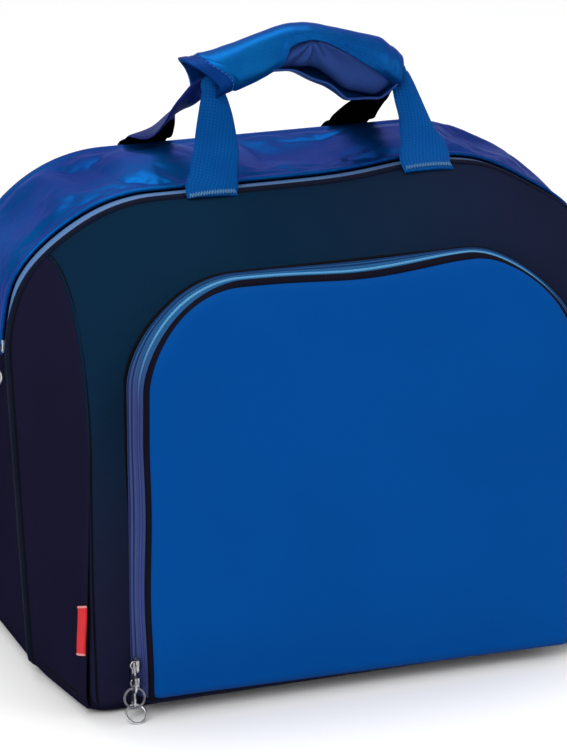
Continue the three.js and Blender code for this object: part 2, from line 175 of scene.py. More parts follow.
def new_object(name, verts, faces, material, uvs=None):
    """A smooth-shaded mesh object in the scene."""
    mesh = bpy.data.meshes.new(name)
    mesh.from_pydata([tuple(v) for v in verts], [], [tuple(f) for f in faces])
    if uvs is not None:
        layer = mesh.uv_layers.new(name="UVMap")
        loops = np.zeros(len(mesh.loops), int)
        mesh.loops.foreach_get("vertex_index", loops)
        layer.data.foreach_set("uv", np.asarray(uvs)[loops].astype(np.float32).ravel())
    mesh.polygons.foreach_set("use_smooth", [True] * len(mesh.polygons))
    mesh.update()
    obj = bpy.data.objects.new(name, mesh)
    bpy.context.scene.collection.objects.link(obj)
    if material:
        mesh.materials.append(material)
    return obj


def sheet_mesh(name, p, material, thickness=0.0, flip=False):
    """An open grid of points as a cloth sheet, with its thickness on the inner side."""
    faces = grid_faces(*p.shape[:2])
    if flip:
        faces = faces[:, ::-1]
    obj = new_object(name, p.reshape(-1, 3), faces, material, arc_uv(p).reshape(-1, 2))
    if thickness:
        thicken(obj, thickness)
    return obj


def thicken(obj, thickness, offset=-1):
    solid = obj.modifiers.new("thickness", "SOLIDIFY")
    solid.thickness = thickness
    solid.offset = offset
    return solid


def tube_mesh(name, rings, material):
    """Rings of points, all alike in number, as one closed body with its ends capped."""
    n, m = rings.shape[:2]
    faces = [tuple(f) for f in grid_faces(n, m, ring=True)[:, [0, 3, 2, 1]]]
    faces.append(tuple(range(m - 1, -1, -1)))
    faces.append(tuple((n - 1) * m + k for k in range(m)))
    closed = np.concatenate([rings, rings[:, :1]], 1)
    uv = arc_uv(closed)[:, :m]
    obj = new_object(name, rings.reshape(-1, 3), faces, material, uv.reshape(-1, 2))
    fix_outward(obj)
    return obj


def fix_outward(obj):
    """Turns a closed mesh's faces out."""
    mesh = obj.data
    mesh.calc_loop_triangles()
    co = np.array([v.co for v in mesh.vertices])
    tri = np.array([t.vertices for t in mesh.loop_triangles])
    a, b, c = co[tri[:, 0]], co[tri[:, 1]], co[tri[:, 2]]
    if np.einsum("ij,ij->i", a, np.cross(b, c)).sum() < 0:
        mesh.flip_normals()


def arch(form, foot_z=EDGE_Z, n_side=44, n_arc=30, n_top=44):
    """(x, z) points of an arch from its left foot over the top to its right foot."""
    knee = form["top"] - form["rz"]
    level = (foot_z - EDGE_Z) / (knee - EDGE_Z)
    foot = lerp(form["foot"], form["half"], level)
    t = np.linspace(0, 1, n_side, endpoint=False)
    straight = np.stack([lerp(foot, form["half"], t), lerp(foot_z, knee, t)], 1)
    a = np.linspace(0, math.pi / 2, n_arc)
    inner = form["half"] - form["rx"]
    bend = np.stack([inner + form["rx"] * np.cos(a), knee + form["rz"] * np.sin(a)], 1)
    over = lerp(inner, 0, np.linspace(0, 1, n_top // 2 + 1)[1:])
    flat = np.stack([over, np.full_like(over, form["top"])], 1)
    right = np.concatenate([straight, bend, flat])
    left = right * [-1, 1]
    return np.concatenate([left, right[:-1][::-1]])


def arch_normals(path):
    """The ways out of an arch, square to it."""
    run = unit(np.gradient(path, axis=0))
    return np.stack([-run[:, 1], run[:, 0]], 1)


def shrink(form, inset, top_inset):
    return {key: value - (top_inset if key in ("top", "rz") else inset) for key, value in form.items()}


def along_arch(name, path, section, material, y_of=None, flare=0.0, warp=None, spread=None):
    """Carries a closed section, in (y, outward), along an arch. A section per path point works too.
    flare leans it outward with y, fully on an upright side and not at all on top. spread moves each
    section point further out on an upright side only."""
    section = np.asarray(section)
    if section.ndim == 2:
        section = section[None]
    normal = arch_normals(path)
    upright = np.abs(normal[:, :1])
    stand = section[..., 1] + flare * section[..., 0] * upright
    if spread is not None:
        stand = stand + spread * np.clip(2 * upright - 1, 0, 1) ** 2
    x = path[:, None, 0] + normal[:, None, 0] * stand
    z = path[:, None, 1] + normal[:, None, 1] * stand
    y = section[..., 0] + (y_of(z) if y_of else 0 * z)
    p = np.stack([x, y, z], 2)
    return tube_mesh(name, warp(p) if warp else p, material)


def circle(y, out, radius, sides=14):
    a = np.linspace(0, 2 * math.pi, sides, endpoint=False)
    return np.stack([y + radius * np.cos(a), out + radius * np.sin(a)], 1)


def slab(y0, y1, inside, outside):
    """A strip's section with softened long edges."""
    t = np.linspace(0, 1, 12)
    edge = 0.4 * MM * (1 - np.sqrt(np.clip(1 - np.abs(2 * t - 1) ** 6, 0, 1)))
    top = np.stack([lerp(y0, y1, t), outside - edge], 1)
    low = np.stack([lerp(y1, y0, t), inside + edge], 1)
    return np.concatenate([top, low])


# ---- materials ----
class Nodes:
    """Short-hand for building one material's nodes."""

    def __init__(self, name):
        self.material = bpy.data.materials.new(name)
        self.material.use_nodes = True
        self.tree = self.material.node_tree
        self.shader = self.tree.nodes["Principled BSDF"]

    def add(self, kind, **values):
        node = self.tree.nodes.new(kind)
        for key, value in values.items():
            if key.startswith("in_"):
                self.plug(node.inputs[int(key[3:])], value)
            else:
                setattr(node, key, value)
        return node

    def plug(self, socket, value):
        if isinstance(value, bpy.types.NodeSocket):
            self.tree.links.new(value, socket)
        else:
            socket.default_value = value

    def math(self, operation, a, b=0.0, c=0.0):
        return self.add("ShaderNodeMath", operation=operation, in_0=a, in_1=b, in_2=c).outputs[0]

    def mix(self, factor, a, b):
        node = self.add("ShaderNodeMix", data_type="RGBA")
        for key, value in (("Factor", factor), ("A", a), ("B", b)):
            sockets = [s for s in node.inputs if s.name == key and s.enabled]
            self.plug(sockets[0], value)
        return [s for s in node.outputs if s.enabled][0]

    def noise(self, vector, scale, detail=2.0, rough=0.5):
        node = self.add("ShaderNodeTexNoise")
        for key, value in (("Vector", vector), ("Scale", scale), ("Detail", detail), ("Roughness", rough)):
            self.plug(node.inputs[key], value)
        return node.outputs["Fac"]

    def ramp(self, value, low, high):
        """0 at the low value, smoothly up to 1 at the high one."""
        inputs = dict(in_0=value, in_1=low, in_2=high)
        return self.add("ShaderNodeMapRange", interpolation_type="SMOOTHSTEP", **inputs).outputs[0]

    def part(self, vector, axis):
        return self.add("ShaderNodeSeparateXYZ", in_0=vector).outputs[axis]

    def bump(self, height, strength, distance):
        node = self.add("ShaderNodeBump")
        for key, value in (("Height", height), ("Strength", strength), ("Distance", distance)):
            self.plug(node.inputs[key], value)
        self.set(normal=node.outputs[0])

    def set(self, **values):
        """Sets the shader's inputs by their names, such as specular_ior_level."""
        for key, value in values.items():
            self.plug(self.shader.inputs[key.replace("_", " ").title().replace("Ior", "IOR")], value)


def linear(color):
    """A linear colour from one given as screen values, 0 to 255."""
    def one(c):
        c /= 255
        return c / 12.92 if c <= 0.04045 else ((c + 0.055) / 1.055) ** 2.4

    return color and tuple(one(c) for c in color) + (1.0,)


def dim(color, by):
    """A linear colour made darker, or brighter where by is over 1."""
    return tuple(c * by for c in color[:3]) + (1.0,)


def painted_shade_falloff(n, spot, tone, far, start):
    """Paints shade: deepens a colour from the upper left of the bag, where the light falls, to its right and
    its foot.
    """
    near = n.math("SUBTRACT", 1.0, n.ramp(n.part(spot, X), start, 0.24))
    return n.mix(n.math("MULTIPLY", near, n.ramp(n.part(spot, Z), 0.06, 0.27)), far, tone)


def woven(name, color, shade, rough, thread=0.55 * MM, bump=0.25, gloss=0.5, far=None, crest_light=None):
    """Woven cloth: crossing threads in texture metres, soft blotches, and a thread-fine bump. far is a
    painted shade colour for the right and the foot of the bag, and crest a painted light colour over the top
    of the pocket."""
    color, shade, far, crest_light = map(linear, (color, shade, far, crest_light))
    n = Nodes(name)
    where = n.add("ShaderNodeTexCoord")
    spot = where.outputs["Object"]
    turns = [n.math("MULTIPLY", n.part(where.outputs["UV"], axis), 2 * math.pi / thread) for axis in (X, Y)]
    threads = n.math("MULTIPLY", *[n.math("SINE", turn) for turn in turns])
    level = n.math("MULTIPLY_ADD", threads, 0.5, 0.5)
    blotch = n.noise(spot, 9.0, 3.0)
    grain = n.noise(spot, 900.0)
    worn = n.math("MULTIPLY_ADD", n.ramp(blotch, 0.3, 0.7), 0.55, n.math("MULTIPLY", grain, 0.45))
    tone = n.mix(worn, shade, color)
    tone = n.mix(n.math("MULTIPLY", level, 0.25), tone, dim(shade, 0.85))
    # Painted shade: the far colour takes over towards the bag's right and its foot.
    if far:
        tone = painted_shade_falloff(n, spot, tone, far, -0.08)
    # Painted light: over the top of the pocket, where the tape faces up into the light, it takes its crest
    # colour.
    if crest_light:
        tone = n.mix(n.ramp(n.part(spot, Z), 0.22, 0.29), tone, crest_light)
    n.set(base_color=tone, specular_ior_level=gloss)
    n.set(roughness=n.math("MULTIPLY_ADD", grain, 0.14, rough - 0.07))
    n.bump(n.math("MULTIPLY_ADD", level, 0.7, n.math("MULTIPLY", grain, 0.5)), bump, 0.3 * MM)
    return n.material


def satin(name, color, shade, rough=0.36, streak=0.35, far=None, luster=0.7, crease=1.2):
    """Glossy satin: fine streaks across the shine, fibre grain painted lighter with a painted sheen, and
    slight crumpling.
    """
    color, shade, far = map(linear, (color, shade, far))
    n = Nodes(name)
    where = n.add("ShaderNodeTexCoord")
    spot = where.outputs["Object"]
    mapped = n.add("ShaderNodeMapping", in_0=where.outputs["UV"])
    mapped.inputs["Scale"].default_value = (260.0, 1500.0, 1.0)
    streaks = n.noise(mapped.outputs[0], 1.0, 2.0, 0.6)
    crumple = n.noise(spot, 55.0, 3.0, 0.55)
    tone = n.mix(n.ramp(n.noise(spot, 12.0), 0.3, 0.7), shade, color)
    # Painted shade: the far colour takes over towards the bag's right and its foot.
    if far:
        tone = painted_shade_falloff(n, spot, tone, far, -0.1)
    # The streaks lighten the colour: fibre grain with a painted sheen.
    tone = n.mix(n.math("MULTIPLY", n.ramp(streaks, 0.35, 0.75), streak), tone, dim(color, 1.3))
    n.set(base_color=tone, metallic=luster, specular_ior_level=0.2, specular_tint=dim(color, 3.0))
    n.set(roughness=n.math("MULTIPLY_ADD", streaks, 0.25, rough - 0.1))
    n.bump(n.math("MULTIPLY_ADD", crumple, crease, n.math("MULTIPLY", streaks, 0.25)), 0.45, 0.8 * MM)
    return n.material


def metal(name, color, rough):
    """Cast metal with fine scratches and a little tarnish."""
    n = Nodes(name)
    spot = n.add("ShaderNodeTexCoord").outputs["Object"]
    scratch = n.noise(spot, 700.0, 4.0, 0.6)
    n.set(base_color=n.mix(n.ramp(n.noise(spot, 160.0), 0.35, 0.75), color, dim(color, 0.55)), metallic=1.0)
    n.set(roughness=n.math("MULTIPLY_ADD", scratch, 0.3, rough - 0.1))
    n.bump(scratch, 0.15, 0.1 * MM)
    return n.material


def webbing(name, color, shade, gloss, rough=0.48):
    """Ribbed strap webbing: ribs along the strap, broken by short dashes that step from rib to rib."""
    rib, dash = 2.6 * MM, 2.2 * MM
    color, shade = linear(color), linear(shade)
    n = Nodes(name)
    where = n.add("ShaderNodeTexCoord")
    spot = where.outputs["Object"]
    across = n.math("MULTIPLY", n.part(where.outputs["UV"], Y), 2 * math.pi / rib)
    along = n.math("MULTIPLY", n.part(where.outputs["UV"], X), 2 * math.pi / dash)
    along = n.math("ADD", along, n.math("MULTIPLY", across, 0.5))
    ribs, dashes = n.math("COSINE", across), n.math("SINE", along)
    height = n.math("MULTIPLY", *[n.math("MULTIPLY_ADD", wave, 0.25, 0.75) for wave in (ribs, dashes)])
    grain = n.noise(spot, 700.0)
    # Painted shade: the valleys between ribs and dashes are darker.
    tone = n.mix(n.ramp(height, 0.1, 0.8), dim(shade, 0.9), color)
    tone = n.mix(n.math("MULTIPLY", n.ramp(n.noise(spot, 45.0), 0.35, 0.75), 0.5), tone, shade)
    n.set(base_color=tone, specular_ior_level=gloss)
    n.set(roughness=n.math("MULTIPLY_ADD", grain, 0.2, rough))
    n.bump(n.math("MULTIPLY_ADD", grain, 0.3, height), 0.7, 0.6 * MM)
    return n.material


# The far colours below are painted shade for the bag's right and foot.
NAVY = woven("navy_cloth", (11, 36, 56), (9, 29, 49), 0.7, gloss=0.0, far=(24, 25, 45))
# A second navy for the front's side wedges, the side walls and the base: the same cloth, recoloured as
# painted shade for how the light falls on them.
NAVY_SIDE_SHADE = woven("navy_cloth_painted_side_shade", (25, 23, 43), (19, 18, 35), 0.85, gloss=0.0)
ROYAL = woven("royal_cloth", (0, 65, 134), (0, 60, 126), 0.62, bump=0.15, gloss=0.02)
SATIN = satin("royal_satin", (0, 78, 142), (2, 54, 118), far=(2, 34, 92))
WRAP_SATIN = satin("wrap_satin", (8, 88, 148), (4, 62, 128), far=(10, 42, 108))
# A darker copy of the wrap's satin for its hem at the left mouth: painted shade.
HEM_SATIN_SHADE = satin("hem_satin", (6, 56, 120), (10, 36, 96), 0.4, luster=0.5)
LINING = satin("lining", (34, 64, 122), (36, 54, 108), 0.45, 0.2, luster=0.3, crease=3.5)
PIPING = woven("navy_piping", (15, 14, 28), (9, 8, 20), 0.7, thread=0.7 * MM, gloss=0.03)
DARK_PIPING = woven("dark_piping", (14, 20, 38), (9, 12, 26), 0.7, thread=0.7 * MM, gloss=0.04)
# Near-black cloth for cords in the seams and for the pocket gusset: painted shade where grooves and recesses
# fall dark.
GROOVE_SHADE = woven("painted_groove_shade", (8, 8, 14), (5, 5, 9), 0.8, thread=0.5 * MM, gloss=0.05)
PALE = woven("pale_tape", (78, 116, 164), (56, 92, 138), 0.45, gloss=0.3, far=(30, 36, 72))
# The pocket zip's crest colours are painted light, for where it faces up over the top of the pocket.
TAPE = woven("zip_tape", (54, 70, 120), (44, 54, 100), 0.6, 0.6 * MM, 0.4, gloss=0.15, crest_light=(12, 76, 124))
TAPE_LINE = woven("tape_fold", (26, 38, 86), (20, 30, 72), 0.7, thread=0.5 * MM, gloss=0.1, crest_light=(3, 40, 84))
MAIN_TAPE = satin("main_zip_tape", (6, 84, 150), (4, 60, 126), 0.4, far=(18, 24, 78))
COIL = woven("zip_teeth", (48, 62, 136), (34, 42, 100), 0.4, thread=0.5 * MM, gloss=0.3, crest_light=(62, 130, 176))
WEBBING = webbing("blue_webbing", (0, 70, 134), (0, 54, 116), gloss=0.03)
# The rear handle's legs: the blue webbing made darker as painted shade, and near-black webbing as painted
# shadow.
TWISTED_SHADE = webbing("twisted_webbing_painted_shade", (16, 40, 112), (20, 26, 76), gloss=0.08)
BLACK_SHADOW = webbing("webbing_painted_shadow", (5, 5, 8), (3, 3, 5), gloss=0.0, rough=0.75)
LABEL = woven("label_red", (206, 22, 36), (178, 12, 24), 0.6, thread=0.5 * MM, gloss=0.2)
LABEL_EDGE = woven("label_edge", (214, 150, 150), (190, 110, 112), 0.6, thread=0.5 * MM, gloss=0.2)
THREAD = woven("navy_thread", (20, 20, 36), (12, 12, 24), 0.6, thread=0.5 * MM, gloss=0.2)
BLUE_THREAD = woven("blue_thread", (40, 92, 176), (20, 60, 140), 0.5, thread=0.5 * MM, gloss=0.3)
TACK_THREAD = woven("tack_thread", (64, 112, 150), (30, 80, 130), 0.5, thread=0.5 * MM, gloss=0.3)
STEEL = metal("bright_steel", (0.55, 0.56, 0.58, 1), 0.25)
DARK_STEEL = metal("dark_steel", (0.16, 0.16, 0.19, 1), 0.35)
FOAM = woven("foam", (52, 54, 60), (40, 42, 48), 0.95, thread=1.2 * MM)
BOARD = woven("board", (36, 36, 38), (26, 26, 28), 0.7, thread=2 * MM, bump=0.1)


def dress(obj, body, slot, *replaced):
    """Says which body a piece rides on, and hides the CAD nodes it stands for. The slot argument is not used.
    """
    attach(obj, body)
    if replaced:
        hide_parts(*replaced)
    return obj


# ---- body ----
def end_ring(face, a):
    """The arch form of a bulging end, at an angle from its arch (0) to its flat face (a right angle)."""
    mix = {key: lerp(ARCH[key], face[key], math.sin(a)) for key in ("foot", "half", "rx", "rz")}
    return dict(mix, top=lerp(ARCH["top"], face["top"], 1 - math.cos(a)))


def height_at(form, x):
    """Height of an arch form's outline at x."""
    past = np.clip(np.abs(x) - (form["half"] - form["rx"]), 0, form["rx"])
    return form["top"] - form["rz"] + form["rz"] * np.sqrt(np.clip(1 - (past / form["rx"]) ** 2, 0, 1))


def seam_height(a):
    """Where the front's side seam ends at this angle of the roll."""
    return float(height_at(end_ring(BELLY, a), np.array(SEAM_X)))


TUCK = 13 * MM  # height over which the walls' bottom edge rolls in
FRONT_DROP = 8 * MM  # how much lower than the back seam the front seam lies over the top


def settle(p):
    """Rolls the walls' bottom edge in towards the base, and lets the front seam lie lower than the back one
    over the top, with a hump under the right strap, so that the gusset slopes down to it."""
    p = p.copy()
    low = np.clip((EDGE_Z + TUCK - p[..., Z]) / TUCK, 0, 1)
    pull = 0.42 * TUCK * (1 - np.sqrt(np.clip(1 - low ** 2, 0, 1)))
    p[..., X] -= np.sign(p[..., X]) * pull * np.clip(np.abs(p[..., X]) / SEAM_X, 0, 1) ** 6
    p[..., Y] -= np.sign(p[..., Y]) * pull
    near = 1 - rise(p[..., Y], FRONT_Y, 75 * MM)
    high = rise(p[..., Z], TOP_Z - 64 * MM, 56 * MM)
    bulge = hump(p[..., X], 88 * MM, 45 * MM)
    shoulder = rise(p[..., X], 125 * MM, 50 * MM)
    p[..., Z] -= (FRONT_DROP - 7 * MM * bulge + 4 * MM * shoulder) * near * high
    return p


def make_front():
    """The front's middle: up its flat face, over the roll and back to the arch seam."""
    xs = np.linspace(-SEAM_X, SEAM_X, 150)
    face_top = height_at(end_ring(BELLY, math.pi / 2), xs)
    rows = [np.stack([xs, np.full_like(xs, FACE_Y), lerp(EDGE_Z, face_top, t)], 1)
            for t in np.linspace(0, 1, 64, endpoint=False)]
    for a in np.linspace(math.pi / 2, 0, 50):
        y = np.full_like(xs, FRONT_Y - BELLY_DEPTH * math.sin(a))
        rows.append(np.stack([xs, y, height_at(end_ring(BELLY, a), xs)], 1))
    p = np.stack(rows, 1)
    edge = np.minimum.reduce([
        SEAM_X - np.abs(p[..., X]),
        np.abs(p[..., Y] - FRONT_Y) + 0.15 * (ARCH["top"] - p[..., Z]),
        p[..., Z] - EDGE_Z,
    ])
    puff = 1.6 * MM * smoothstep(edge / (24 * MM))
    puff += 0.8 * MM * ripple(p, 0.16, 3) * smoothstep(edge / (30 * MM))
    p = p - grid_normals(p) * puff[..., None]
    front = sheet_mesh("front_cloth", settle(p), NAVY, CLOTH, flip=True)
    dress(front, "root", "navy_fabric", "front_panel")


def make_front_side(word, sign):
    """The wedge between the front arch seam and the front face's side seam."""
    columns = []
    for a in np.linspace(0, math.pi / 2, 40):
        form = end_ring(BELLY, a)
        z = np.linspace(EDGE_Z, seam_height(a), 110)
        knee = form["top"] - form["rz"]
        straight = lerp(form["foot"], form["half"], (z - EDGE_Z) / (knee - EDGE_Z))
        past = np.clip((z - knee) / form["rz"], 0, 1)
        bent = form["half"] - form["rx"] + form["rx"] * np.sqrt(1 - past ** 2)
        y = np.full_like(z, FRONT_Y - BELLY_DEPTH * math.sin(a))
        columns.append(np.stack([sign * np.where(z < knee, straight, bent), y, z], 1))
    p = np.stack(columns, 0)
    across = (FRONT_Y - p[..., Y]) / BELLY_DEPTH
    edge = np.minimum(np.minimum(across, 1 - across) * BELLY_DEPTH, p[:, -1:, Z] - p[..., Z])
    puff = 2.2 * MM * smoothstep(edge / (22 * MM))
    puff += 0.9 * MM * ripple(p, 0.12, 5) * smoothstep(edge / (25 * MM))
    p = p + grid_normals(p) * sign * puff[..., None]
    wedge = sheet_mesh("front_side_cloth_" + word, settle(p), NAVY_SIDE_SHADE, CLOTH, flip=sign < 0)
    dress(wedge, "root", "navy_fabric", "front_side_" + word)


def make_back():
    """The back: a short roll from the arch seam, then a flat face drawn in towards its middle line."""
    rows = []
    for a in np.linspace(0, math.pi / 2, 16):
        path = arch(end_ring(BACK, a))
        y = np.full(len(path), BACK_Y + BACK_DEPTH * math.sin(a))
        rows.append(np.stack([path[:, 0], y, path[:, 1]], 1))
    rim = rows[-1]
    core = rim.copy()
    core[:, X] = 0
    core[:, Z] = np.clip(rim[:, Z], None, BACK["top"] - BACK["rz"])
    rows += [lerp(rim, core, t) for t in np.linspace(0, 1, 30)[1:]]
    p = np.stack(rows, 1)
    edge = np.abs(p[..., Y] - BACK_Y)
    dome = (1 - (p[..., X] / BACK["half"]) ** 2) * (1 - (p[..., Z] / (BACK["top"] / 2) - 1) ** 2)
    puff = 1.5 * MM * np.clip(dome, 0, 1) + 0.8 * MM * ripple(p, 0.15, 9) * smoothstep(edge / (15 * MM))
    p[..., Y] += puff
    back = sheet_mesh("back_cloth", settle(p), NAVY)
    weld = back.modifiers.new("centre", "WELD")
    weld.merge_threshold = 0.02 * MM
    thicken(back, CLOTH)
    dress(back, "root", "navy_fabric", "back_panel")


def make_arch_seams():
    """The piping of both arch seams, and a near-black cord before the front one: painted shade of its groove.
    """
    path = arch(ARCH)
    front = circle(PIPING_Y - 0.9 * MM, 2.2 * MM, PIPING_R + 1.1 * MM)
    groove = circle(PIPING_Y - 3.8 * MM, 1.5 * MM, 1.1 * MM, 8)
    back = circle(BACK_PIPING_Y, 0.3 * MM, PIPING_R)
    for name, section, material, nodes in (
        ("front_piping_cord", front, DARK_PIPING, ["front_piping"]),
        ("front_seam_groove", groove, GROOVE_SHADE, []),
        ("back_piping_cord", back, PIPING, ["back_piping"]),
    ):
        dress(along_arch(name, path, section, material, warp=settle), "root", "piping", *nodes)


def make_side_seam(word, sign):
    """The stitched fold that covers a side seam of the front, between two narrow near-black cords: painted
    shade of its grooves.
    """
    z = np.linspace(EDGE_Z + 3 * MM, float(height_at(BELLY, np.array(SEAM_X))), 50, endpoint=False)
    face = np.stack([np.full_like(z, SEAM_X), np.full_like(z, FACE_Y), z], 1)
    angles = np.linspace(math.pi / 2, 0.02, 50)
    roll = np.array([[SEAM_X, FRONT_Y - BELLY_DEPTH * math.sin(a), seam_height(a)] for a in angles])
    line = settle(np.concatenate([face, roll]) * [sign, 1, 1])
    gone = np.linspace(0, 1, len(line))
    wide = 1.8 * MM + 3 * MM * rise(gone, 0.35, 0.6) + 2.8 * MM * fall(gone, 0.3, 0.3)
    out = unit(np.array([sign * 0.75, -0.55, 0.15]))
    fold = ribbon("side_seam_fold_" + word, line + out * 1.5 * MM, out, wide, 1.6 * MM, NAVY)
    dress(fold, "root", "navy_fabric")
    across = unit(np.cross(unit(np.gradient(line, axis=0)), out))
    for edge, at in (("inner", -1), ("outer", 1)):
        side_line = line + out * 1.7 * MM + at * across * (wide[:, None] / 2 + 0.5 * MM)
        groove = ribbon("side_seam_" + edge + "_groove_" + word, side_line, out, 1.2 * MM, 0.9 * MM, GROOVE_SHADE)
        dress(groove, "root", "piping")


def ribbon(name, line, out, wide, thick, material, sides=14):
    """A narrow rounded strip along a line, facing out."""
    run = unit(np.gradient(line, axis=0))
    out = square_to(np.broadcast_to(np.asarray(out, float), line.shape), run)
    across = np.cross(run, out)
    a = np.linspace(0, 2 * math.pi, sides, endpoint=False)
    w = np.sign(np.cos(a)) * np.abs(np.cos(a)) ** 0.6 / 2 * np.broadcast_to(wide, len(line))[:, None]
    h = np.sign(np.sin(a)) * np.abs(np.sin(a)) ** 0.6 * thick / 2
    rings = line[:, None] + across[:, None] * w[..., None] + out[:, None] * h[None, :, None]
    return tube_mesh(name, rings, material)


def proud(z):
    """How far the zip and the gusset's hem stand up behind the front piping: less beside the slider."""
    return lerp(1.2 * MM, 3.5 * MM, rise(z - ZIP_END_Z, 20 * MM, 34 * MM))


def make_main_zip():
    """The main zip over the top, from shoulder to shoulder: pale front tape, coil and rear tape."""
    path = arch(ARCH, ZIP_END_Z, n_side=16, n_arc=60, n_top=80)

    def strip(name, section, material, slot, node):
        dress(along_arch(name, path, section, material, warp=settle), "root", slot, node)

    y0, y1 = side("main_zip_tape_front", Y, 0), side("main_zip_tape_front", Y, 1)
    front = slab(y0, y1, -1.5 * MM, 0.2 * MM)
    lift = smoothstep((front[:, 0] - y0 + 5 * MM) / (y1 - y0 + 3 * MM)) * proud(path[:, 1])[:, None]
    front = np.stack([front[:, 0] + 0 * lift, front[:, 1] + lift], 2)
    strip("pale_zip_tape", front, PALE, "pale_tape", "main_zip_tape_front")
    rear = slab(side("main_zip_tape_rear", Y, 0), side("main_zip_tape_rear", Y, 1), -1.5 * MM, 0.1 * MM)
    strip("rear_zip_tape", rear, MAIN_TAPE, "zip_tape", "main_zip_tape_rear")
    y0, y1 = side("main_zip_coil", Y, 0), side("main_zip_coil", Y, 1)
    coil = teeth_row("main_zip_teeth", path, (y0 + y1) / 2, y1 - y0, 0.9 * MM, MAIN_TAPE, warp=settle)
    dress(coil, "root", "zip_coil", "main_zip_coil")


def resample(path, step):
    """The same line with its points this far apart."""
    gone = travelled(path)
    at = np.linspace(0, gone[-1], int(gone[-1] / step) + 1)
    return np.stack([np.interp(at, gone, path[:, k]) for k in range(path.shape[1])], 1)


def teeth_row(name, path, y, wide, height, material, y_of=None, flare=0.0, warp=None):
    """A row of zip teeth: a low rounded rib whose width and height beat along the path, 1.7 mm a tooth."""
    path = resample(path, 1.7 * MM / 4)
    beat = 0.5 + 0.5 * np.cos(np.arange(len(path)) * 2 * math.pi / 4)
    a = np.linspace(0, 2 * math.pi, 10, endpoint=False)
    w = (wide / 2) * (0.86 + 0.14 * beat[:, None]) * np.cos(a)
    h = height * (0.55 + 0.45 * beat[:, None]) * np.sin(a)
    return along_arch(name, path, np.stack([y + w, h], 2), material, y_of, flare, warp)


CLOTH_SETTINGS = dict(
    quality=6, mass=0.3, use_pressure=True, uniform_pressure_force=1.5,
    tension_stiffness=40, compression_stiffness=40, shear_stiffness=20, bending_stiffness=0.5,
    tension_damping=8, air_damping=3,
)
CLOTH_FRAMES = 14


def billow(points, held, normal, growth, cap):
    """Lets a grid of cloth settle with a little more cloth than its frame has room
    for. held is 1 where a point is sewn down."""
    scene = bpy.context.scene
    start = points + normal * (0.25 * MM * ripple(points, 0.04, 12) * (1 - held))[..., None]
    obj = new_object("cloth_pattern", start.reshape(-1, 3), grid_faces(*points.shape[:2]), None)
    pins = obj.vertex_groups.new(name="sewn")
    for index, weight in enumerate(np.clip(held, 0, 1).ravel()):
        if weight > 0.01:
            pins.add([index], float(weight), "REPLACE")
    settings = obj.modifiers.new("cloth", "CLOTH").settings
    for key, value in CLOTH_SETTINGS.items():
        setattr(settings, key, value)
    settings.vertex_group_mass = "sewn"
    settings.shrink_min = settings.shrink_max = -growth
    settings.effector_weights.gravity = 0
    for number in range(1, CLOTH_FRAMES + 1):
        scene.frame_set(number)
    settled = obj.evaluated_get(bpy.context.evaluated_depsgraph_get())
    ended = np.array([v.co for v in settled.data.vertices]).reshape(points.shape)
    mesh = obj.data
    bpy.data.objects.remove(obj)
    bpy.data.meshes.remove(mesh)
    scene.frame_set(1)
    moved = ended - points
    length = np.linalg.norm(moved, axis=2, keepdims=True)
    return points + moved * np.minimum(1, cap / np.maximum(length, 1e-9)) * (1 - held[..., None])


def stitches(name, line, out, length, gap, radius, material):
    """A row of short raised stitches along a line."""
    gone = travelled(line)
    at = np.arange(length, gone[-1] - length, length + gap)

    def pick(values):
        return np.stack([np.interp(at, gone, values[:, k]) for k in range(3)], 1)

    along = unit(pick(np.gradient(line, axis=0)))
    up = square_to(pick(out), along)
    sides = 6
    angles = np.linspace(0, 2 * math.pi, sides, endpoint=False)
    verts, faces = [], []
    for c, t, u, w in zip(pick(line), along, up, np.cross(along, up)):
        base = len(verts)
        for place, size in ((-0.5, 0.35), (-0.3, 1.0), (0.3, 1.0), (0.5, 0.35)):
            middle_point = c + t * place * length
            verts += [middle_point + radius * size * (w * math.cos(a) + u * math.sin(a)) for a in angles]
        faces += [tuple(base + f) for f in grid_faces(4, sides, ring=True)[:, [0, 3, 2, 1]]]
        faces.append(tuple(base + m for m in range(sides))[::-1])
        faces.append(tuple(base + 3 * sides + m for m in range(sides)))
    return new_object(name, verts, faces, material)


HEM = 8 * MM  # from the gusset's sewn edges to its stitches


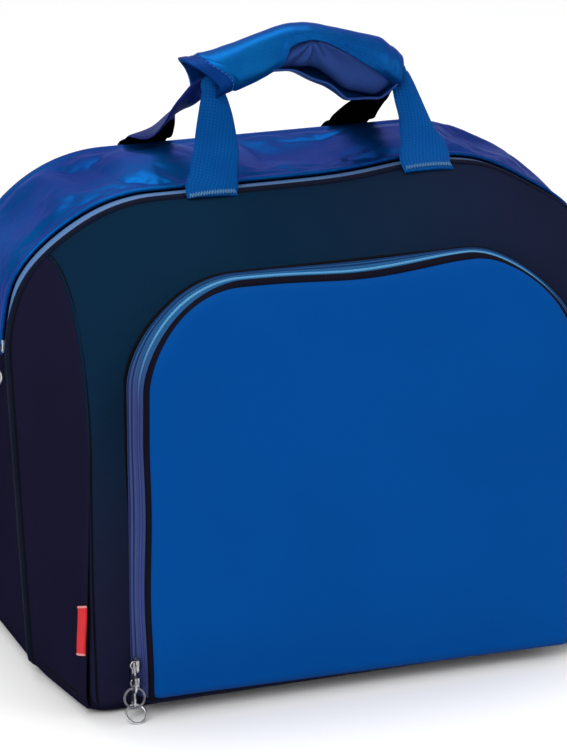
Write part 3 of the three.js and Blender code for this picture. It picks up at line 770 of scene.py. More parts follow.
def make_gusset():
    """The padded satin gusset over the top, crumpled between its sewn edges."""
    step = 3 * MM
    path = resample(arch(ARCH, ZIP_END_Z, n_side=4, n_arc=70, n_top=150), step)
    normal = arch_normals(path)
    y_front = side("main_zip_coil", Y, 0) + 0.2 * MM
    ys = np.linspace(y_front, GUSSET_Y1, 44)
    flat = np.zeros((len(path), len(ys)))
    p = np.stack([flat + path[:, :1], flat + ys, flat + path[:, 1:]], 2)
    n = np.stack([flat + normal[:, :1], flat, flat + normal[:, 1:]], 2)
    end = np.arange(len(path))
    edge = np.minimum(p[..., Y] - y_front, GUSSET_Y1 - p[..., Y])
    edge = np.minimum(edge, (np.minimum(end, end[::-1]) * step)[:, None])
    puff = 1.6 * MM * rise(edge, HEM, 16 * MM)
    top = rise(p[..., Z], TOP_Z - 30 * MM, 30 * MM)
    sag = np.exp(-((p[..., X] - 15 * MM) / (62 * MM)) ** 2 - ((p[..., Y] - 45 * MM) / (26 * MM)) ** 2)
    inner = rise(edge, HEM, 18 * MM)
    over_zip = proud(p[..., Z]) * fall(p[..., Y], y_front + 22 * MM, 22 * MM)
    p = settle(p + n * (puff + over_zip - 4 * MM * sag * top * inner)[..., None])
    p = billow(p, 1 - rise(edge, HEM, 5 * MM), n, growth=0.022, cap=5 * MM)
    groove = -0.7 * MM * hump(edge, HEM, 1.6 * MM) + 0.6 * MM * fall(edge, HEM, 3 * MM)
    p = p + n * groove[..., None]
    pad = sheet_mesh("satin_gusset", p, SATIN, 3 * MM, flip=True)
    smooth = pad.modifiers.new("fine", "SUBSURF")
    smooth.levels = smooth.render_levels = 1
    dress(pad, "root", "satin", "top_gusset")
    row = int(round(HEM / (ys[1] - ys[0])))
    for word, k in (("front", row), ("back", len(ys) - 1 - row)):
        line, out = p[:, k] + n[:, k] * 0.5 * MM, n[:, k]
        seam = stitches("gusset_stitches_" + word, line, out, 2.6 * MM, 0.9 * MM, 0.45 * MM, BLUE_THREAD)
        dress(seam, "root", "satin")


def make_side_wall(word, sign):
    """The navy wall under one end of the satin gusset."""
    node = "side_gusset_" + word
    ys = np.linspace(side(node, Y, 0), side(node, Y, 1), 30)
    zz, yy = np.meshgrid(np.linspace(EDGE_Z, ZIP_END_Z, 60), ys, indexing="ij")
    x = lerp(ARCH["foot"], ARCH["half"], (zz - EDGE_Z) / (ARCH["top"] - ARCH["rz"] - EDGE_Z))
    p = np.stack([sign * x, yy, zz], 2)
    edge = np.minimum.reduce([yy - ys[0], ys[-1] - yy, ZIP_END_Z - zz])
    p[..., X] += sign * (1.6 * MM + 1.0 * MM * ripple(p, 0.11, 14)) * smoothstep(edge / (25 * MM))
    wall = sheet_mesh("side_wall_" + word, settle(p), NAVY_SIDE_SHADE, CLOTH, flip=sign > 0)
    dress(wall, "root", "navy_fabric", node)


def footprint(inset):
    """The base's outline, its corners rounded, moved in by an inset."""
    corner = 16 * MM
    half = [
        (BELLY["foot"] - inset, FACE_Y + inset),
        (ARCH["foot"] - inset, FRONT_Y),
        (ARCH["foot"] - inset, BACK_Y),
        (BACK["foot"] - inset, BACK_Y + BACK_DEPTH - inset),
    ]
    points = np.array(half + [(-x, y) for x, y in reversed(half)])
    outline = []
    for i, point in enumerate(points):
        to_last = points[i - 1] - point
        to_next = points[(i + 1) % len(points)] - point
        cut = min(corner, 0.45 * np.linalg.norm(to_last), 0.45 * np.linalg.norm(to_next))
        a = point + to_last / np.linalg.norm(to_last) * cut
        b = point + to_next / np.linalg.norm(to_next) * cut
        for t in np.linspace(0, 1, 10):
            outline.append((1 - t) ** 2 * a + 2 * t * (1 - t) * point + t * t * b)
    return np.array(outline)


def make_base():
    """The base cloth: a low rounded rim above the floor that sags to a flat bottom."""
    seam_z = EDGE_Z + 7 * MM
    rings = []
    for a in np.linspace(0, math.pi / 2, 9):
        inset = lerp(0.5 * MM, 15 * MM, 1 - math.cos(a))
        z = lerp(seam_z, 0.0, math.sin(a))
        outline = footprint(inset - 0.8 * MM * math.sin(2 * a))
        rings.append(np.column_stack([outline, np.full(len(outline), z)]))
    base = tube_mesh("base_cloth", np.stack(rings), NAVY_SIDE_SHADE)
    dress(base, "root", "navy_fabric", "base_panel")
    outline = footprint(0.2 * MM)
    loop = resample(np.concatenate([outline, outline[:1]]), 3 * MM)[:-1]
    ring = np.column_stack([loop, np.full(len(loop), seam_z)])
    # A near-black cord round the base seam: painted shade of its groove.
    dress(loop_cord("base_seam_cord", ring, 0.9 * MM, GROOVE_SHADE), "root", "piping")


def loop_cord(name, ring, radius, material):
    """A cord round a closed level loop."""
    up = np.array([0, 0, 1.0])
    out = unit(np.cross(unit(np.roll(ring, -1, 0) - np.roll(ring, 1, 0)), up))
    a = np.linspace(0, 2 * math.pi, 8, endpoint=False)[None, :, None]
    rings = ring[:, None] + radius * (out[:, None] * np.cos(a) + up * np.sin(a))
    faces = grid_faces(*rings.shape[:2], ring=True, loop=True)[:, [0, 3, 2, 1]]
    obj = new_object(name, rings.reshape(-1, 3), faces, material, arc_uv(rings).reshape(-1, 2))
    fix_outward(obj)
    return obj


# ---- pocket ----
def face_y(z):
    """Y of the front's face at a height."""
    over_face = np.clip((z - BELLY["top"]) / (ARCH["top"] - BELLY["top"]), 0, 0.999)
    return FRONT_Y - BELLY_DEPTH * np.sqrt(1 - over_face ** 2)


def pocket_slack(p):
    """The zip and panel hang a little low along the top and at its right corner, with a dip in the middle,
    and waver on their upright sides."""
    x, z = p[..., X], p[..., Z]
    depth = face_y(z) - p[..., Y]
    out = smoothstep(depth / (9 * MM))
    top = rise(z, POCKET_TOP - 60 * MM, 45 * MM)
    whole = rise(z, POCKET_TOP - 100 * MM, 75 * MM) * np.clip(depth / (15 * MM), 0, 1)
    dip = hump(x, 4 * MM, 46 * MM)
    swell = hump(x, 85 * MM, 34 * MM)
    right = rise(x, 95 * MM, 60 * MM)
    corner = 7 * MM * right * rise(z, POCKET_TOP - 110 * MM, 70 * MM)
    upright = fall(z, POCKET_TOP - 60 * MM, 60 * MM) * smoothstep(np.abs(x) / POCKET_HALF * 4 - 3)
    hang = 3.5 * MM * dip * top * out + (5.5 * MM - 2.5 * MM * swell) * whole * (1 - 0.75 * right) + corner
    moved = p.copy()
    moved[..., Y] += face_y(z - corner) - face_y(z)
    moved[..., Z] -= hang
    moved[..., X] += 0.8 * MM * np.sin(z / (19 * MM)) * upright * out
    moved[..., Y] -= 0.7 * MM * np.sin(z / (31 * MM) + 1) * upright * out
    return moved


def deep(node):
    """How far a pocket layer reaches before the bag's face."""
    return FACE_Y - side(node, Y, 0)


def make_pocket():
    """The pocket's gusset and zip, laid in rings from the bag's face out to the panel's piping."""
    path = resample(arch(POCKET, POCKET_Z, n_side=60, n_arc=50, n_top=60), 3 * MM)
    gap = 0.3 * MM
    on_face = dict(y_of=face_y, flare=POCKET_FLARE, warp=pocket_slack)

    def lay(name, near, far, inside, body, slot, material, node, skirt=0.0):
        section = slab(-far, -near, inside, -0.4 * MM)
        spread = skirt * smoothstep((section[:, 0] + far) / (far - near))
        dress(along_arch(name, path, section, material, spread=spread, **on_face), body, slot, node)

    gusset, tape, coil = deep("pocket_gusset"), deep("pocket_zip_tape_rear"), deep("pocket_zip_coil_rear")
    front_coil, front_tape = deep("pocket_zip_coil_front"), deep("pocket_zip_tape_front")
    # The pocket gusset takes the near-black groove cloth: painted shade between the bag's face and the zip
    # tape.
    lay("pocket_gusset_cloth", gap, gusset, -3 * MM, "root", "navy_fabric", GROOVE_SHADE, "pocket_gusset",
        SKIRT + 0.6 * MM)
    lay("pocket_tape_rear", gusset + gap, coil, -2 * MM, "root", "zip_tape", TAPE, "pocket_zip_tape_rear",
        SKIRT)
    for word, share in (("outer", 0.24), ("inner", 0.5)):
        section = circle(-lerp(gusset, coil, share), -0.35 * MM, 0.45 * MM, 8)
        spread = SKIRT * smoothstep(1 - share)
        line = along_arch("pocket_tape_line_" + word, path, section, TAPE_LINE, spread=spread, **on_face)
        dress(line, "root", "zip_tape")
    lay("pocket_tape_front", coil + 0.1 * MM, front_tape, -2 * MM, "pocket_flap", "zip_tape", TAPE,
        "pocket_zip_tape_front")
    wide = coil - tape - gap
    rows = (("rear", coil, "root", TAPE), ("front", front_coil, "pocket_flap", COIL))
    for word, reach, body, material in rows:
        teeth = teeth_row("pocket_teeth_" + word, path, wide / 2 - reach, wide, 0.8 * MM, material, **on_face)
        dress(teeth, body, "zip_coil", "pocket_zip_coil_" + word)
    section = circle(2.3 * MM - deep("pocket_piping"), 0.1 * MM, 2.4 * MM, 16)
    pipe = along_arch("pocket_piping_cord", path, section, PIPING, **on_face)
    dress(pipe, "pocket_flap", "piping", "pocket_piping")


def make_panel():
    """The blue panel: a thick flat cloth whose edges turn back to the piping all round."""
    form = shrink(POCKET, 11.4 * MM, 4.4 * MM)
    knee = form["top"] - form["rz"]
    rows = 70
    inner = form["half"] - form["rx"]
    a = np.linspace(0, math.pi / 2, 60)
    z = np.concatenate([np.linspace(POCKET_Z, knee, rows, endpoint=False), knee + form["rz"] * np.sin(a)])
    half = np.concatenate([np.full(rows, form["half"]), inner + form["rx"] * np.cos(a)])
    t = np.linspace(-1, 1, 130)
    t = np.sign(t) * (1 - (1 - np.abs(t)) ** 1.35)
    x = half[:, None] * t[None]
    zz = np.broadcast_to(z[:, None], x.shape)
    edge = np.minimum(half[:, None] - np.abs(x), form["top"] - zz)
    past_x, past_z = np.abs(x) - inner, zz - knee
    corner = np.hypot(np.clip(past_x, 0, None) / form["rx"], np.clip(past_z, 0, None) / form["rz"])
    edge = np.where((past_x > 0) & (past_z > 0), np.minimum(edge, (1 - corner) * form["rz"]), edge)
    edge = np.minimum(edge, zz - POCKET_Z)
    roll = 3.2 * MM
    drop = 2.4 * MM * (1 - np.sqrt(np.clip(1 - (1 - np.clip(edge / roll, 0, 1)) ** 2, 0, 1)))
    lift = lerp(3.5 * MM, -1.5 * MM, (x + form["half"]) / (2 * form["half"]))
    zz = zz + lift * np.clip(1 - (zz - POCKET_Z) / (60 * MM), 0, 1)
    p = np.stack([x, 0 * x, zz], 2)
    soft = 0.9 * MM * ripple(p, 0.26, 21, 5) * smoothstep(edge / (50 * MM))
    soft = soft + 0.25 * MM * ripple(p, 0.06, 22) * smoothstep(edge / (20 * MM))
    crown = 1.6 * MM * smoothstep(edge / (70 * MM))
    p[..., 1] = face_y(zz) - (deep("pocket_panel") - drop + crown + soft)
    panel = sheet_mesh("pocket_panel_cloth", pocket_slack(p), ROYAL, 3.2 * MM)
    dress(panel, "pocket_flap", "blue_fabric", "pocket_panel")


def make_pocket_bottom():
    """The navy strip under the pocket, from the bag's bottom seam out to the panel."""
    xs = np.linspace(side("pocket_bottom", X, 0), side("pocket_bottom", X, 1), 90)
    lip = side("pocket_bottom", Y, 0)
    profile = [(FACE_Y + 1 * MM, EDGE_Z + 2 * MM), (FACE_Y - 8 * MM, EDGE_Z + 2.5 * MM),
               (lip + 1 * MM, POCKET_Z - 5 * MM), (lip - 0.5 * MM, POCKET_Z - 3.4 * MM),
               (lip + 1 * MM, POCKET_Z - 1.5 * MM), (FACE_Y - 6 * MM, POCKET_Z - 3 * MM),
               (FACE_Y + 1 * MM, EDGE_Z + 5 * MM)]
    rings = np.array([[(x, y, z) for y, z in profile] for x in xs])
    dress(tube_mesh("pocket_bottom_strip", rings, NAVY), "root", "navy_fabric", "pocket_bottom")


# ---- label ----
def wedge_line(level):
    """(x, y) ends of the left front side panel at a height: at the face's side seam and at the arch seam."""
    belly = lerp(BELLY["foot"], BELLY["half"], (level - EDGE_Z) / (BELLY["top"] - BELLY["rz"] - EDGE_Z))
    rear = lerp(ARCH["foot"], ARCH["half"], (level - EDGE_Z) / (ARCH["top"] - ARCH["rz"] - EDGE_Z))
    return np.array([-belly, FACE_Y]), np.array([-rear, FRONT_Y])


def make_label():
    """A blank folded cloth tab in the left side seam: its fold is at the front, its rear edge is loose."""
    low, high = (corner[Z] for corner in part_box("side_label"))
    points = []
    for level in np.linspace(low - 6 * MM, high - 9 * MM, 26):
        start, end = wedge_line(level)
        run = unit(end - start)
        out = np.array([-run[1], run[0]])
        wave = 0.3 * MM * math.sin(level / (7 * MM))
        past_middle = 2 * level - low - high
        near_end = smoothstep(abs(past_middle) / (high - low) * 4 - 3)
        row = []
        for along in np.linspace(-2.8 * MM, 7.5 * MM, 16):
            bend = 3.2 * MM + 1.2 * MM * rise(along, 3 * MM, 12 * MM) + wave
            round_end = 1.5 * MM * (along / (9 * MM)) ** 4 * near_end
            place = start + run * along + out * bend
            row.append((*place, level - np.sign(past_middle) * round_end + 0.35 * (5 * MM - along)))
        points.append(row)
    p = np.array(points)
    tab = sheet_mesh("blank_label", p, LABEL)
    thicken(tab, 1.4 * MM, offset=0)
    dress(tab, "root", "label", "side_label")
    for word, k in (("top", -1), ("bottom", 0)):
        out = np.array([-0.9, -0.3, 0.2])
        binding = ribbon("label_binding_" + word, p[k] + out * 0.3 * MM, out, 1.6 * MM, 1.7 * MM, LABEL_EDGE)
        dress(binding, "root", "label")


# ---- handles ----
def smooth_rows(values, count):
    """A smooth curve through a few rows of numbers, evenly spread (Catmull-Rom)."""
    values = np.asarray(values, float)
    rows = np.concatenate([2 * values[:1] - values[1:2], values, 2 * values[-1:] - values[-2:-1]])
    t = np.linspace(0, len(values) - 1 - 1e-9, count)
    k = t.astype(int)
    f = (t - k)[:, None]
    a, b, c, d = (rows[k + i] for i in range(4))
    square, cube = 2 * a - 5 * b + 4 * c - d, 3 * b - a - 3 * c + d
    return 0.5 * (2 * b + (c - a) * f + square * f ** 2 + cube * f ** 3)


STRAP_T = 2.2 * MM
STRAP_ROWS = 90
STRAP_COLUMNS = 26  # points across each of a strap's two faces


def strap_mesh(name, left, right, material, twist=None, lower=None, lower_share=1.0):
    """A webbing strap between its two edge lines, slightly crowned, with rounded edges. lower is the
    material of its lower face, over this share of its length."""
    left, right = smooth_rows(left, STRAP_ROWS), smooth_rows(right, STRAP_ROWS)
    centre, half = (left + right) / 2, (right - left) / 2
    run = unit(np.gradient(centre, axis=0))
    wide = np.linalg.norm(half, axis=1)
    u = square_to(half, run)
    up = np.cross(u, run)
    up *= np.sign(up[STRAP_ROWS // 4, Z]) or 1
    if twist is not None:
        turn = smooth_rows(np.radians(np.asarray(twist, float))[:, None], STRAP_ROWS)
        u, up = u * np.cos(turn) + up * np.sin(turn), up * np.cos(turn) - u * np.sin(turn)
    t = np.linspace(-1, 1, STRAP_COLUMNS)
    lip = STRAP_T / 2 * np.sqrt(np.clip(1 - np.abs(t) ** 14, 0.02, 1))
    bow = 1.5 * MM * (1 - t ** 2)
    section = np.concatenate([np.stack([t, bow + lip], 1), np.stack([t, bow - lip], 1)[::-1]])
    fold = (1 - wide / wide.max())[:, None]
    buckle = 1.6 * MM * fold * np.sin(3.1 * section[None, :, 0] + 1)
    p = centre[:, None] + u[:, None] * section[None, :, :1] * wide[:, None, None]
    p = p + up[:, None] * (section[None, :, 1:] + buckle[..., None])
    strap = tube_mesh(name, p, material)
    if lower:
        strap.data.materials.append(lower)
        for face in strap.data.polygons[: int((STRAP_ROWS - 1) * lower_share) * len(section)]:
            if face.index % len(section) >= STRAP_COLUMNS:
                face.material_index = 1
    return strap, p


def zigzag(name, line, out, depth, material):
    """A sewn zigzag that follows a line, as one thin cord, with a turn every millimetre."""
    line = resample(line, 1.0 * MM)
    side_step = np.where(np.arange(len(line)) % 2, 1.0, -1.0)
    fine = resample(line + side_step[:, None] * depth, 0.6 * MM)
    return ribbon(name, fine, out, 0.9 * MM, 0.8 * MM, material, sides=6)


def make_leg(word, left, right, node, material, **look):
    """A strap from the bag to the grip."""
    leg, p = strap_mesh("strap_" + word, left, right, material, **look)
    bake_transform(leg)
    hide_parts(node)
    return p


GRIP_LOW, GRIP_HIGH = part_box("grip_wrap")
GRIP_MID_X = (GRIP_LOW[X] + GRIP_HIGH[X]) / 2
GRIP_HALF = (GRIP_HIGH[X] - GRIP_LOW[X]) / 2
GRIP_Y = (GRIP_LOW[Y] + GRIP_HIGH[Y]) / 2
GRIP_R = (GRIP_HIGH[Y] - GRIP_LOW[Y]) / 2
GRIP_TOP_AXIS = GRIP_HIGH[Z] - GRIP_R

# The front straps' two edge lines in millimetres, row by row from the foot up: across from the foot's middle,
# back from the arch seam, and up from the top of the bag. Past the last row, each edge enters the grip.
FRONT_STRAPS = {
    "left": dict(
        left_edge=[-14.8, -14.4, -10.6, -7.6, -2.6, 2.5, 6.1, 9.1, 10.9, 12.6],
        right_edge=[22.0, 22.4, 25, 26.8, 30.2, 32, 32, 30, 27, 24],
        setback=[-6, -1.5, 3, 8, 15, 25, 31, 35, 37, 39],
        height=[-5.5, -2, 3, 10, 21, 32, 42, 52, 59, 65],
        inward=27, entry=(76, 61)),
    "right": dict(
        left_edge=[-13.6, -13.2, -11.2, -9.5, -6.7, -3.8, -4.3, -5.0, -6.0, -8.0],
        right_edge=[23.4, 23.8, 25.8, 26.0, 21.6, 18.8, 15.8, 12.2, 8.5, 3.0],
        setback=[-12, -3, 3, 8, 15, 25, 31, 35, 37, 39],
        height=[-0.2, 4.6, 8.8, 13.5, 21, 32, 42, 52, 59, 65],
        inward=-27, entry=(61, 76)),
}


def make_front_leg(word, form):
    """A front strap lies over the arch seam, rises, and closes up as it enters the mouth of the grip."""
    node = "front_strap_" + word
    foot = math.copysign(STRAP_X, middle(node, X))
    edges = []
    for edge, entry in zip(("left_edge", "right_edge"), form["entry"]):
        rows = [[foot + x * MM, FRONT_Y + y * MM, TOP_Z + z * MM]
                for x, y, z in zip(form[edge], form["setback"], form["height"])]
        edges.append(rows + [[foot + form["inward"] * MM, GRIP_Y - 3 * MM, TOP_Z + entry * MM]])
    p = make_leg("front_" + word, *edges, node, WEBBING)
    tack_row, above = p[3, :STRAP_COLUMNS], p[4, :STRAP_COLUMNS]
    line = tack_row[1:-1] + [0, -0.3 * MM, 0.5 * MM]
    depth = unit(above[12] - tack_row[12]) * 1.9 * MM
    tack = zigzag("bartack_front_" + word, line, np.array([0, -0.5, 1.0]), depth, TACK_THREAD)
    dress(tack, "root", "webbing")


# The rear straps, row by row from the foot up: how far across from the foot to the grip each row has gone,
# and its half width and its place behind the back seam, in millimetres.
REAR_STRAP = dict(
    share=[0, 0, 0, 0.06, 0.3, 0.7, 1],
    half=[18.5, 18.5, 18.5, 18, 16, 14, 11, 7],
    back=[13, 5, -4, -13, -33, -58, -80, -84],
)


def make_rear_leg(word, sign, head, material, twist, shadow_share):
    """A rear strap: the left one is twisted over on its way up. Each has a black lower face over a share of
    its length, and the right one is black all over: painted shadow.
    """
    foot = sign * STRAP_X
    centres = [lerp(foot, head, share) for share in REAR_STRAP["share"]] + [head - sign * 12 * MM]
    low_z = side("rear_strap_left", Z, 0) + 2 * MM
    heights = [low_z] + [TOP_Z + up * MM for up in (3, 6, 13, 24, 36, 52, 63)]
    rows = list(zip(centres, REAR_STRAP["half"], REAR_STRAP["back"], heights))
    edges = [[[c + k * w * MM, BACK_Y + y * MM, z] for c, w, y, z in rows] for k in (-1, 1)]
    look = dict(twist=twist, lower=BLACK_SHADOW, lower_share=shadow_share)
    make_leg("rear_" + word, *edges, "rear_strap_" + word, material, **look)


def grip_axis(x):
    """Height of the grip's axis: a low tent with a rounded ridge, its left mouth kicked up and its right
    one down."""
    def tent(u):
        return np.hypot(u, 0.35) - 0.35

    axis = GRIP_TOP_AXIS - 20 * MM * tent((x - GRIP_MID_X) / GRIP_HALF) / tent(1)
    left = fall(x, GRIP_LOW[X] + 18 * MM, 33 * MM)
    right = smoothstep((x - GRIP_HIGH[X] + 16 * MM) / (22 * MM))
    return axis + 7 * MM * left - 6 * MM * right


def wrap_edge(x):
    """Angle of the wrap's front edge, in degrees up from the front: it gapes at the middle of the grip."""
    at = np.array([-60, -45, -24, -13, -4, 10, 19, 36, 52, 63, 70, 76]) * MM
    turn = np.array([-58, -50, -24, 18, 27, 33, 29, 10, -8, -17, -30, -44])
    return np.interp(x, at, turn)


HEM_ROWS = 12  # rows of the wrap's mesh from its left mouth to the hem's stitches


def make_wrap():
    """The padded wrap round the straps, open along its front, with its mouths cut back."""
    s = np.linspace(0, 1, 150)[:, None]
    q = np.linspace(0, 1, 74)[None]
    start = wrap_edge(lerp(GRIP_LOW[X] - 8 * MM, GRIP_HIGH[X] + 3 * MM, s))
    theta = np.radians(start + (211 - start) * q)
    front = fall(np.degrees(theta), 90, 115)
    rear = rise(np.degrees(theta), 95, 105)
    left = GRIP_LOW[X] - 9.5 * MM + 24 * MM * front + 13 * MM * rear
    right = GRIP_HIGH[X] + 0.5 * MM - 5 * MM * front - 5 * MM * rear
    x = lerp(left, right, s)
    from_left, from_right = s * (right - left), (1 - s) * (right - left)
    edge = np.minimum(from_left, from_right)
    lip = smoothstep(q * GRIP_R * math.pi / (7 * MM))
    body = rise(edge, 7 * MM, 9 * MM)
    where = np.stack([x, GRIP_Y + GRIP_R * 2 * theta, 0 * x], 2)
    wrinkle = 0.5 * MM * ripple(where * [1, 0.8, 1], 0.06, 31)
    wrinkle += 0.12 * MM * ripple(where * [1.6, 0.4, 1], 0.022, 32)
    radius = GRIP_R - 1.0 * MM + (1.6 * MM + wrinkle) * body + 0.5 * MM * fall(edge, 8 * MM, 2 * MM)
    radius = radius - 1.4 * MM * (1 - lip)
    radius = radius - 1.5 * MM * fall(from_right, 6 * MM, 6 * MM) ** 2
    radius = radius - 0.9 * MM * hump(from_left, 12 * MM, 1.3 * MM)
    flat = 1 - 0.12 * rise(edge, 10 * MM, 30 * MM) * np.abs(np.cos(theta))
    y = GRIP_Y - radius * flat * np.cos(theta)
    z = np.minimum(grip_axis(x) + radius * np.sin(theta), GRIP_HIGH[Z] + 1.5 * MM)
    p = np.stack([x, y, z], 2)
    wrap = sheet_mesh("grip_wrap_cloth", p, WRAP_SATIN)
    two_faced(wrap, 1.8 * MM, LINING)
    # The hem rows at the left mouth take the darker satin: painted shade.
    wrap.data.materials.append(HEM_SATIN_SHADE)
    for face in wrap.data.polygons[: HEM_ROWS * (p.shape[1] - 1)]:
        face.material_index = 2
    dress(wrap, "grip", "satin", "grip_wrap")
    n = grid_normals(p)
    n *= np.sign(n[75, 37, Z])
    line, out = p[HEM_ROWS - 1, 2:-2], n[HEM_ROWS - 1, 2:-2]
    seam = stitches("grip_hem_left", line + out * 0.2 * MM, out, 2.4 * MM, 1.0 * MM, 0.4 * MM, BLUE_THREAD)
    dress(seam, "grip", "satin")


def two_faced(obj, thickness, inner):
    """Gives a sheet thickness, with a second cloth on its inner side."""
    obj.data.materials.append(inner)
    solid = thicken(obj, thickness)
    solid.material_offset = 1
    solid.material_offset_rim = 0


def make_lining():
    """The lining sleeve that holds both straps inside the wrap, gathered towards its middle."""
    x = np.linspace(GRIP_LOW[X] + 20 * MM, GRIP_HIGH[X] - 5 * MM, 120)
    theta = np.linspace(0, 2 * math.pi, 48, endpoint=False)
    xx, tt = np.meshgrid(x, theta, indexing="ij")
    low = 12.5 * MM
    slack = rise(xx, 12 * MM, 30 * MM) * fall(xx, GRIP_HIGH[X] - 2 * MM, 22 * MM)
    hang = np.where(np.sin(tt) < 0, lerp(low, 2 * low, slack), low)
    y = GRIP_Y - 10.0 * MM * np.cos(tt) - 3 * MM * (hang - low) / low * np.clip(-np.sin(tt), 0, 1)
    z = grip_axis(xx) + hang * np.sin(tt)
    gather_x = GRIP_MID_X + 9 * MM
    gather_z = float(grip_axis(np.array(GRIP_MID_X))) + 9 * MM
    turn = np.arctan2(z - gather_z, xx - gather_x)
    far = np.hypot(z - gather_z, xx - gather_x)
    reach = smoothstep(far / (8 * MM)) * fall(far, 60 * MM, 30 * MM)
    fold = 1.7 * MM * np.sin(9 * turn + 0.8 * np.sin(3 * turn)) * reach
    ends = smoothstep(np.minimum(xx - x[0], x[-1] - xx) / (12 * MM))
    y = y - (1.2 * MM + fold) * np.clip(np.cos(tt), -0.2, 1) * ends
    sleeve = tube_mesh("grip_lining", np.stack([xx, y, z], 2), LINING)
    dress(sleeve, "grip", "satin", "front_strap_top", "rear_strap_top")


def make_flap():
    """The slack flap under the grip: from the wrap's rear edge it swings down and forward, lining side up."""
    at = np.array([-24, -10, 8, 25, 35, 50, 62, 70, 76]) * MM
    drop = np.array([5, 11, 18, 24, 30, 27, 25, 17, 8]) * MM
    x = np.linspace(at[0], at[-1], 90)
    hang = smooth_rows(np.interp(np.linspace(at[0], at[-1], 16), at, drop)[:, None], len(x))
    xx, t = np.meshgrid(x, np.linspace(0, 1, 40), indexing="ij")
    axis = grip_axis(xx)
    rear_y, rear_z = GRIP_Y + GRIP_R * 0.84, axis - GRIP_R * 0.62
    front_y, front_z = GRIP_Y - 13.5 * MM, axis - hang
    low_y, low_z = GRIP_Y + 3 * MM, np.minimum(front_z, rear_z) - 7 * MM * smoothstep(hang / (20 * MM))
    y, z = ((1 - t) ** 2 * a + 2 * t * (1 - t) * b + t ** 2 * c
            for a, b, c in ((rear_y, low_y, front_y), (rear_z, low_z, front_z)))
    z = z + 1.0 * MM * ripple(np.stack([xx, y, z], 2), 0.03, 41) * smoothstep(t / 0.3)
    p = np.stack([xx, y, z], 2)
    flap = sheet_mesh("grip_flap_cloth", p, LINING)
    two_faced(flap, 1.6 * MM, SATIN)
    dress(flap, "grip_flap", "satin", "grip_flap")
    n = grid_normals(p)
    n *= np.sign(n[45, 30, Z])
    for word, k in (("outer", 36), ("inner", 33)):
        line, out = p[4:-4, k] + n[4:-4, k] * 0.3 * MM, n[4:-4, k]
        seam = stitches("flap_stitches_" + word, line, out, 2.2 * MM, 1.0 * MM, 0.35 * MM, THREAD)
        dress(seam, "grip_flap", "satin")


# ---- sliders, pull tabs and rings ----
def machined(obj, bevel):
    """Flat faces with narrow softened edges, as on a cast or stamped part."""
    obj.data.polygons.foreach_set("use_smooth", [False] * len(obj.data.polygons))
    edge = obj.modifiers.new("edge", "BEVEL")
    edge.width = bevel
    edge.segments = 2
    edge.limit_method = "ANGLE"
    return obj


def plate(name, loops, thickness, origin, ex, ey, ez, material):
    """A flat plate with holes: its loops are outlines in the plane of ex and ey, its outer one first."""
    loops = [[Vector((float(a), float(b), 0)) for a, b in loop] for loop in loops]
    flat = [v for loop in loops for v in loop]
    count = len(flat)
    triangles = tessellate_polygon(loops)
    verts = [origin + v.x * ex + v.y * ey + k * thickness / 2 * ez for k in (-1, 1) for v in flat]
    faces = [tuple(t) for t in triangles] + [tuple(i + count for i in reversed(t)) for t in triangles]
    base = 0
    for loop in loops:
        n = len(loop)
        for i in range(base, base + n):
            j = base + (i + 1 - base) % n
            faces.append((i, j, j + count, i + count))
        base += n
    obj = new_object(name, verts, faces, material)
    work = bmesh.new()
    work.from_mesh(obj.data)
    bmesh.ops.recalc_face_normals(work, faces=work.faces)
    work.to_mesh(obj.data)
    work.free()
    return machined(obj, 0.25 * MM)


def make_slider(prefix, bar):
    """A slider stands off the zip along -X: wide shoulders, a waist, and an arched bridge for the tab."""
    ex, ey, ez = np.array([-1.0, 0, 0]), np.array([0, -1.0, 0]), np.array([0, 0, 1.0])
    foot = bar - 3.5 * MM * ex
    half = np.array([(2.6, -5), (3.4, -3.6), (3.5, -0.6), (4.2, 2.2), (3.9, 4.3), (1.6, 5), (0, 4.2)])
    outline = np.concatenate([half[:1] * [-1, 1], half, (half[1:-1] * [-1, 1])[::-1]]) * MM
    heights = ((-0.2, 0.94), (0.4, 1.0), (1.7, 1.0), (2.4, 0.86))
    rings = [[foot + ex * h * MM + (ey * a + ez * b) * grow for a, b in outline] for h, grow in heights]
    body = machined(tube_mesh(prefix + "_slider_body", np.array(rings), STEEL), 0.2 * MM)
    dress(body, prefix + "_slider", "bright_metal", prefix + "_slider")
    a = np.linspace(0, math.pi, 18)
    arc = foot + np.outer(2.0 * MM + 3.4 * MM * np.sin(a) ** 0.7, ex) + np.outer(-2.7 * MM * np.cos(a), ez)
    out = np.cross(np.gradient(arc, axis=0), ey)
    bridge = ribbon(prefix + "_slider_bridge", arc, out, 1.7 * MM, 1.0 * MM, STEEL)
    dress(bridge, prefix + "_slider", "bright_metal")


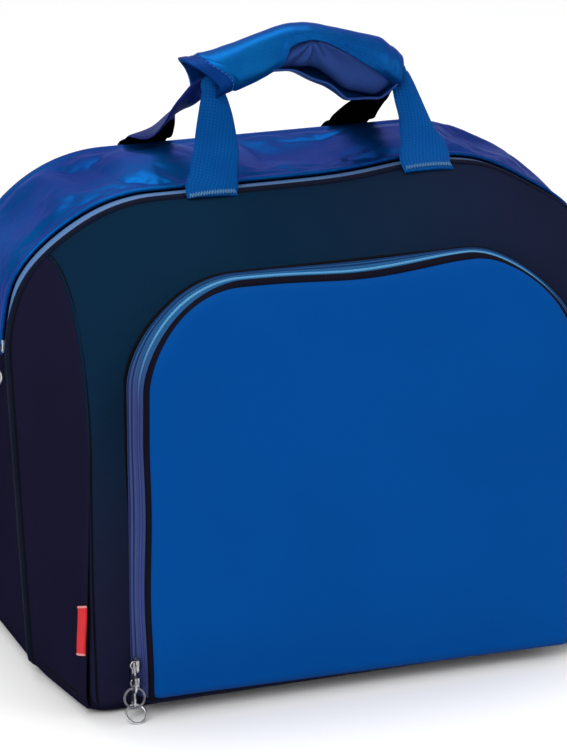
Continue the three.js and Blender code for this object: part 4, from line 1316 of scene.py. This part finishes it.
def make_tab(prefix, bar, hinge, eye):
    """A pull tab, from the slider's bridge to the eye for its ring."""
    far = float(np.linalg.norm(eye - bar))
    down, across = (eye - bar) / far, unit(hinge)
    round_end = [(3.8 * MM * math.cos(b), far + 3.8 * MM * math.sin(b)) for b in np.linspace(0, math.pi, 22)]
    edge = [(x * MM, y * MM) for x, y in ((2.7, -0.8), (3.0, 4), (3.3, 7.2), (2.9, 8.6), (3.8, 11.5))]
    outer = edge + round_end + [(-x, y) for x, y in edge][::-1]
    slot_side = [(1.2, 6.4), (1.9, 5.6), (1.9, 0.7)]
    slot_hole = [(x * MM, y * MM) for x, y in [(-x, y) for x, y in slot_side][::-1] + slot_side]
    round_hole = [(2.3 * MM * math.cos(b), far + 2.3 * MM * math.sin(b))
                  for b in np.linspace(0, -2 * math.pi, 24, endpoint=False)]
    loops = [outer, slot_hole, round_hole]
    tab = plate(prefix + "_tab", loops, 1.3 * MM, bar, across, down, np.cross(across, down), STEEL)
    dress(tab, prefix + "_pull_tab", "bright_metal", prefix + "_pull_tab")


def make_ring(prefix, eye, wire_axis, material):
    """A split ring: its wire runs twice round, and steps over at the overlap."""
    low, high = (np.array(c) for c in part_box(prefix + "_split_ring"))
    centre = (low + high) / 2
    out = centre - eye
    out -= wire_axis * (out @ wire_axis)
    radius = float(np.linalg.norm(out))
    out /= radius
    b = np.linspace(0.2, 2 * math.pi * 1.94, 130)
    pitch = 0.95 * MM * smoothstep((b - 2 * math.pi + 0.7) / 1.1) - 0.47 * MM
    line = centre + radius * (np.outer(np.cos(b), out) + np.outer(np.sin(b), wire_axis))
    line += np.outer(pitch, np.cross(wire_axis, out))
    ring = ribbon(prefix + "_ring", line, line - centre, 0.95 * MM, 1.5 * MM, material, sides=12)
    dress(ring, prefix + "_split_ring", "bright_metal", prefix + "_split_ring")


def make_pull(prefix, ring_material):
    """A slider with its pull tab and split ring, on the axes of their joints."""
    tab_joint = JOINTS[prefix + "_pull_tab_swing"]
    ring_joint = JOINTS[prefix + "_split_ring_swing"]
    bar, eye = np.array(tab_joint["pos_m"]), np.array(ring_joint["pos_m"])
    make_slider(prefix, bar)
    make_tab(prefix, bar, np.array(tab_joint["axis"]), eye)
    make_ring(prefix, eye, unit(np.array(ring_joint["axis"])), ring_material)


# ---- camera, light and floor ----
def aim(obj, target):
    """Turns a camera or lamp towards a point."""
    direction = Vector(target) - obj.location
    obj.rotation_euler = direction.to_track_quat("-Z", "Y").to_euler()


def make_camera():
    """The photograph's view: from the front left and a little above."""
    azimuth, elevation, distance = math.radians(-20.75), math.radians(18.13), 2.472
    target = Vector((-21.4 * MM, FRONT_Y, EDGE_Z + 194.6 * MM))
    level = math.cos(elevation)
    back = Vector((math.sin(azimuth) * level, -math.cos(azimuth) * level, math.sin(elevation)))
    data = bpy.data.cameras.new("camera")
    data.sensor_width = 36.0
    data.lens = 165.3
    camera = bpy.data.objects.new("camera", data)
    camera.location = target + back * distance
    aim(camera, target)
    bpy.context.scene.collection.objects.link(camera)
    bpy.context.scene.camera = camera


def make_light(name, place, target, size, power):
    data = bpy.data.lights.new(name, "AREA")
    data.shape = "RECTANGLE"
    data.size, data.size_y = size
    data.energy = power
    lamp = bpy.data.objects.new(name, data)
    lamp.location = place
    aim(lamp, target)
    bpy.context.scene.collection.objects.link(lamp)


def make_studio():
    """A pale floor that curves up into a backdrop, an even sky and three soft lamps."""
    n = Nodes("floor_paper")
    blotch = n.noise(n.add("ShaderNodeTexCoord").outputs["Object"], 3.0)
    n.set(base_color=n.mix(blotch, (0.95, 0.95, 0.955, 1), (0.98, 0.98, 0.98, 1)))
    n.set(roughness=0.9, specular_ior_level=0.1)
    reach, height, curve = 4.0, 3.0, 1.0
    angles = np.linspace(0.1, math.pi / 2, 12)
    bend = [(reach - curve + curve * math.sin(a), curve - curve * math.cos(a)) for a in angles]
    profile = [(-reach, 0), (reach - curve, 0), *bend, (reach, height)]
    p = np.array([[(x, y, z) for y, z in profile] for x in (-reach, reach)])
    sheet_mesh("floor", p, n.material)
    world = bpy.data.worlds.new("studio")
    world.use_nodes = True
    world.node_tree.nodes["Background"].inputs[0].default_value = (1, 1, 1, 1)
    world.node_tree.nodes["Background"].inputs[1].default_value = 0.8
    bpy.context.scene.world = world
    make_light("key", (-1.6, -1.9, 2.0), (0, 0, 0.25), (1.4, 1.4), 42)
    make_light("fill", (2.2, -2.0, 1.2), (0, 0, 0.2), (1.6, 1.6), 14)
    make_light("top", (0.1, 0.5, 2.4), (0, 0, 0.3), (1.6, 1.0), 20)
    bpy.context.scene.view_settings.view_transform = "Standard"


SIDES = (("left", -1), ("right", 1))

make_camera()
make_studio()
make_front()
for word, sign in SIDES:
    make_front_side(word, sign)
make_back()
make_arch_seams()
for word, sign in SIDES:
    make_side_seam(word, sign)
make_main_zip()
make_gusset()
for word, sign in SIDES:
    make_side_wall(word, sign)
make_base()
make_pocket()
make_panel()
make_pocket_bottom()
make_label()
for word, form in FRONT_STRAPS.items():
    make_front_leg(word, form)
# The rear legs' darker colours are painted shade and shadow: the left leg's darker webbing, the right leg all
# black, and the black lower faces.
make_rear_leg("left", -1, -73 * MM, TWISTED_SHADE, [0, 0, 0, 8, 40, 28, 10, 0], 0.5)
make_rear_leg("right", 1, 70 * MM, BLACK_SHADOW, None, 1.0)
make_wrap()
make_lining()
make_flap()
for prefix, ring_material in (("pocket_lower", STEEL), ("pocket_upper", DARK_STEEL), ("main", STEEL)):
    make_pull(prefix, ring_material)

FINISHES = {"ball_cradle": FOAM, "base_board": BOARD}
for node, obj in frame["nodes"].items():
    obj.data.materials.clear()
    obj.data.materials.append(FINISHES.get(node, NAVY))
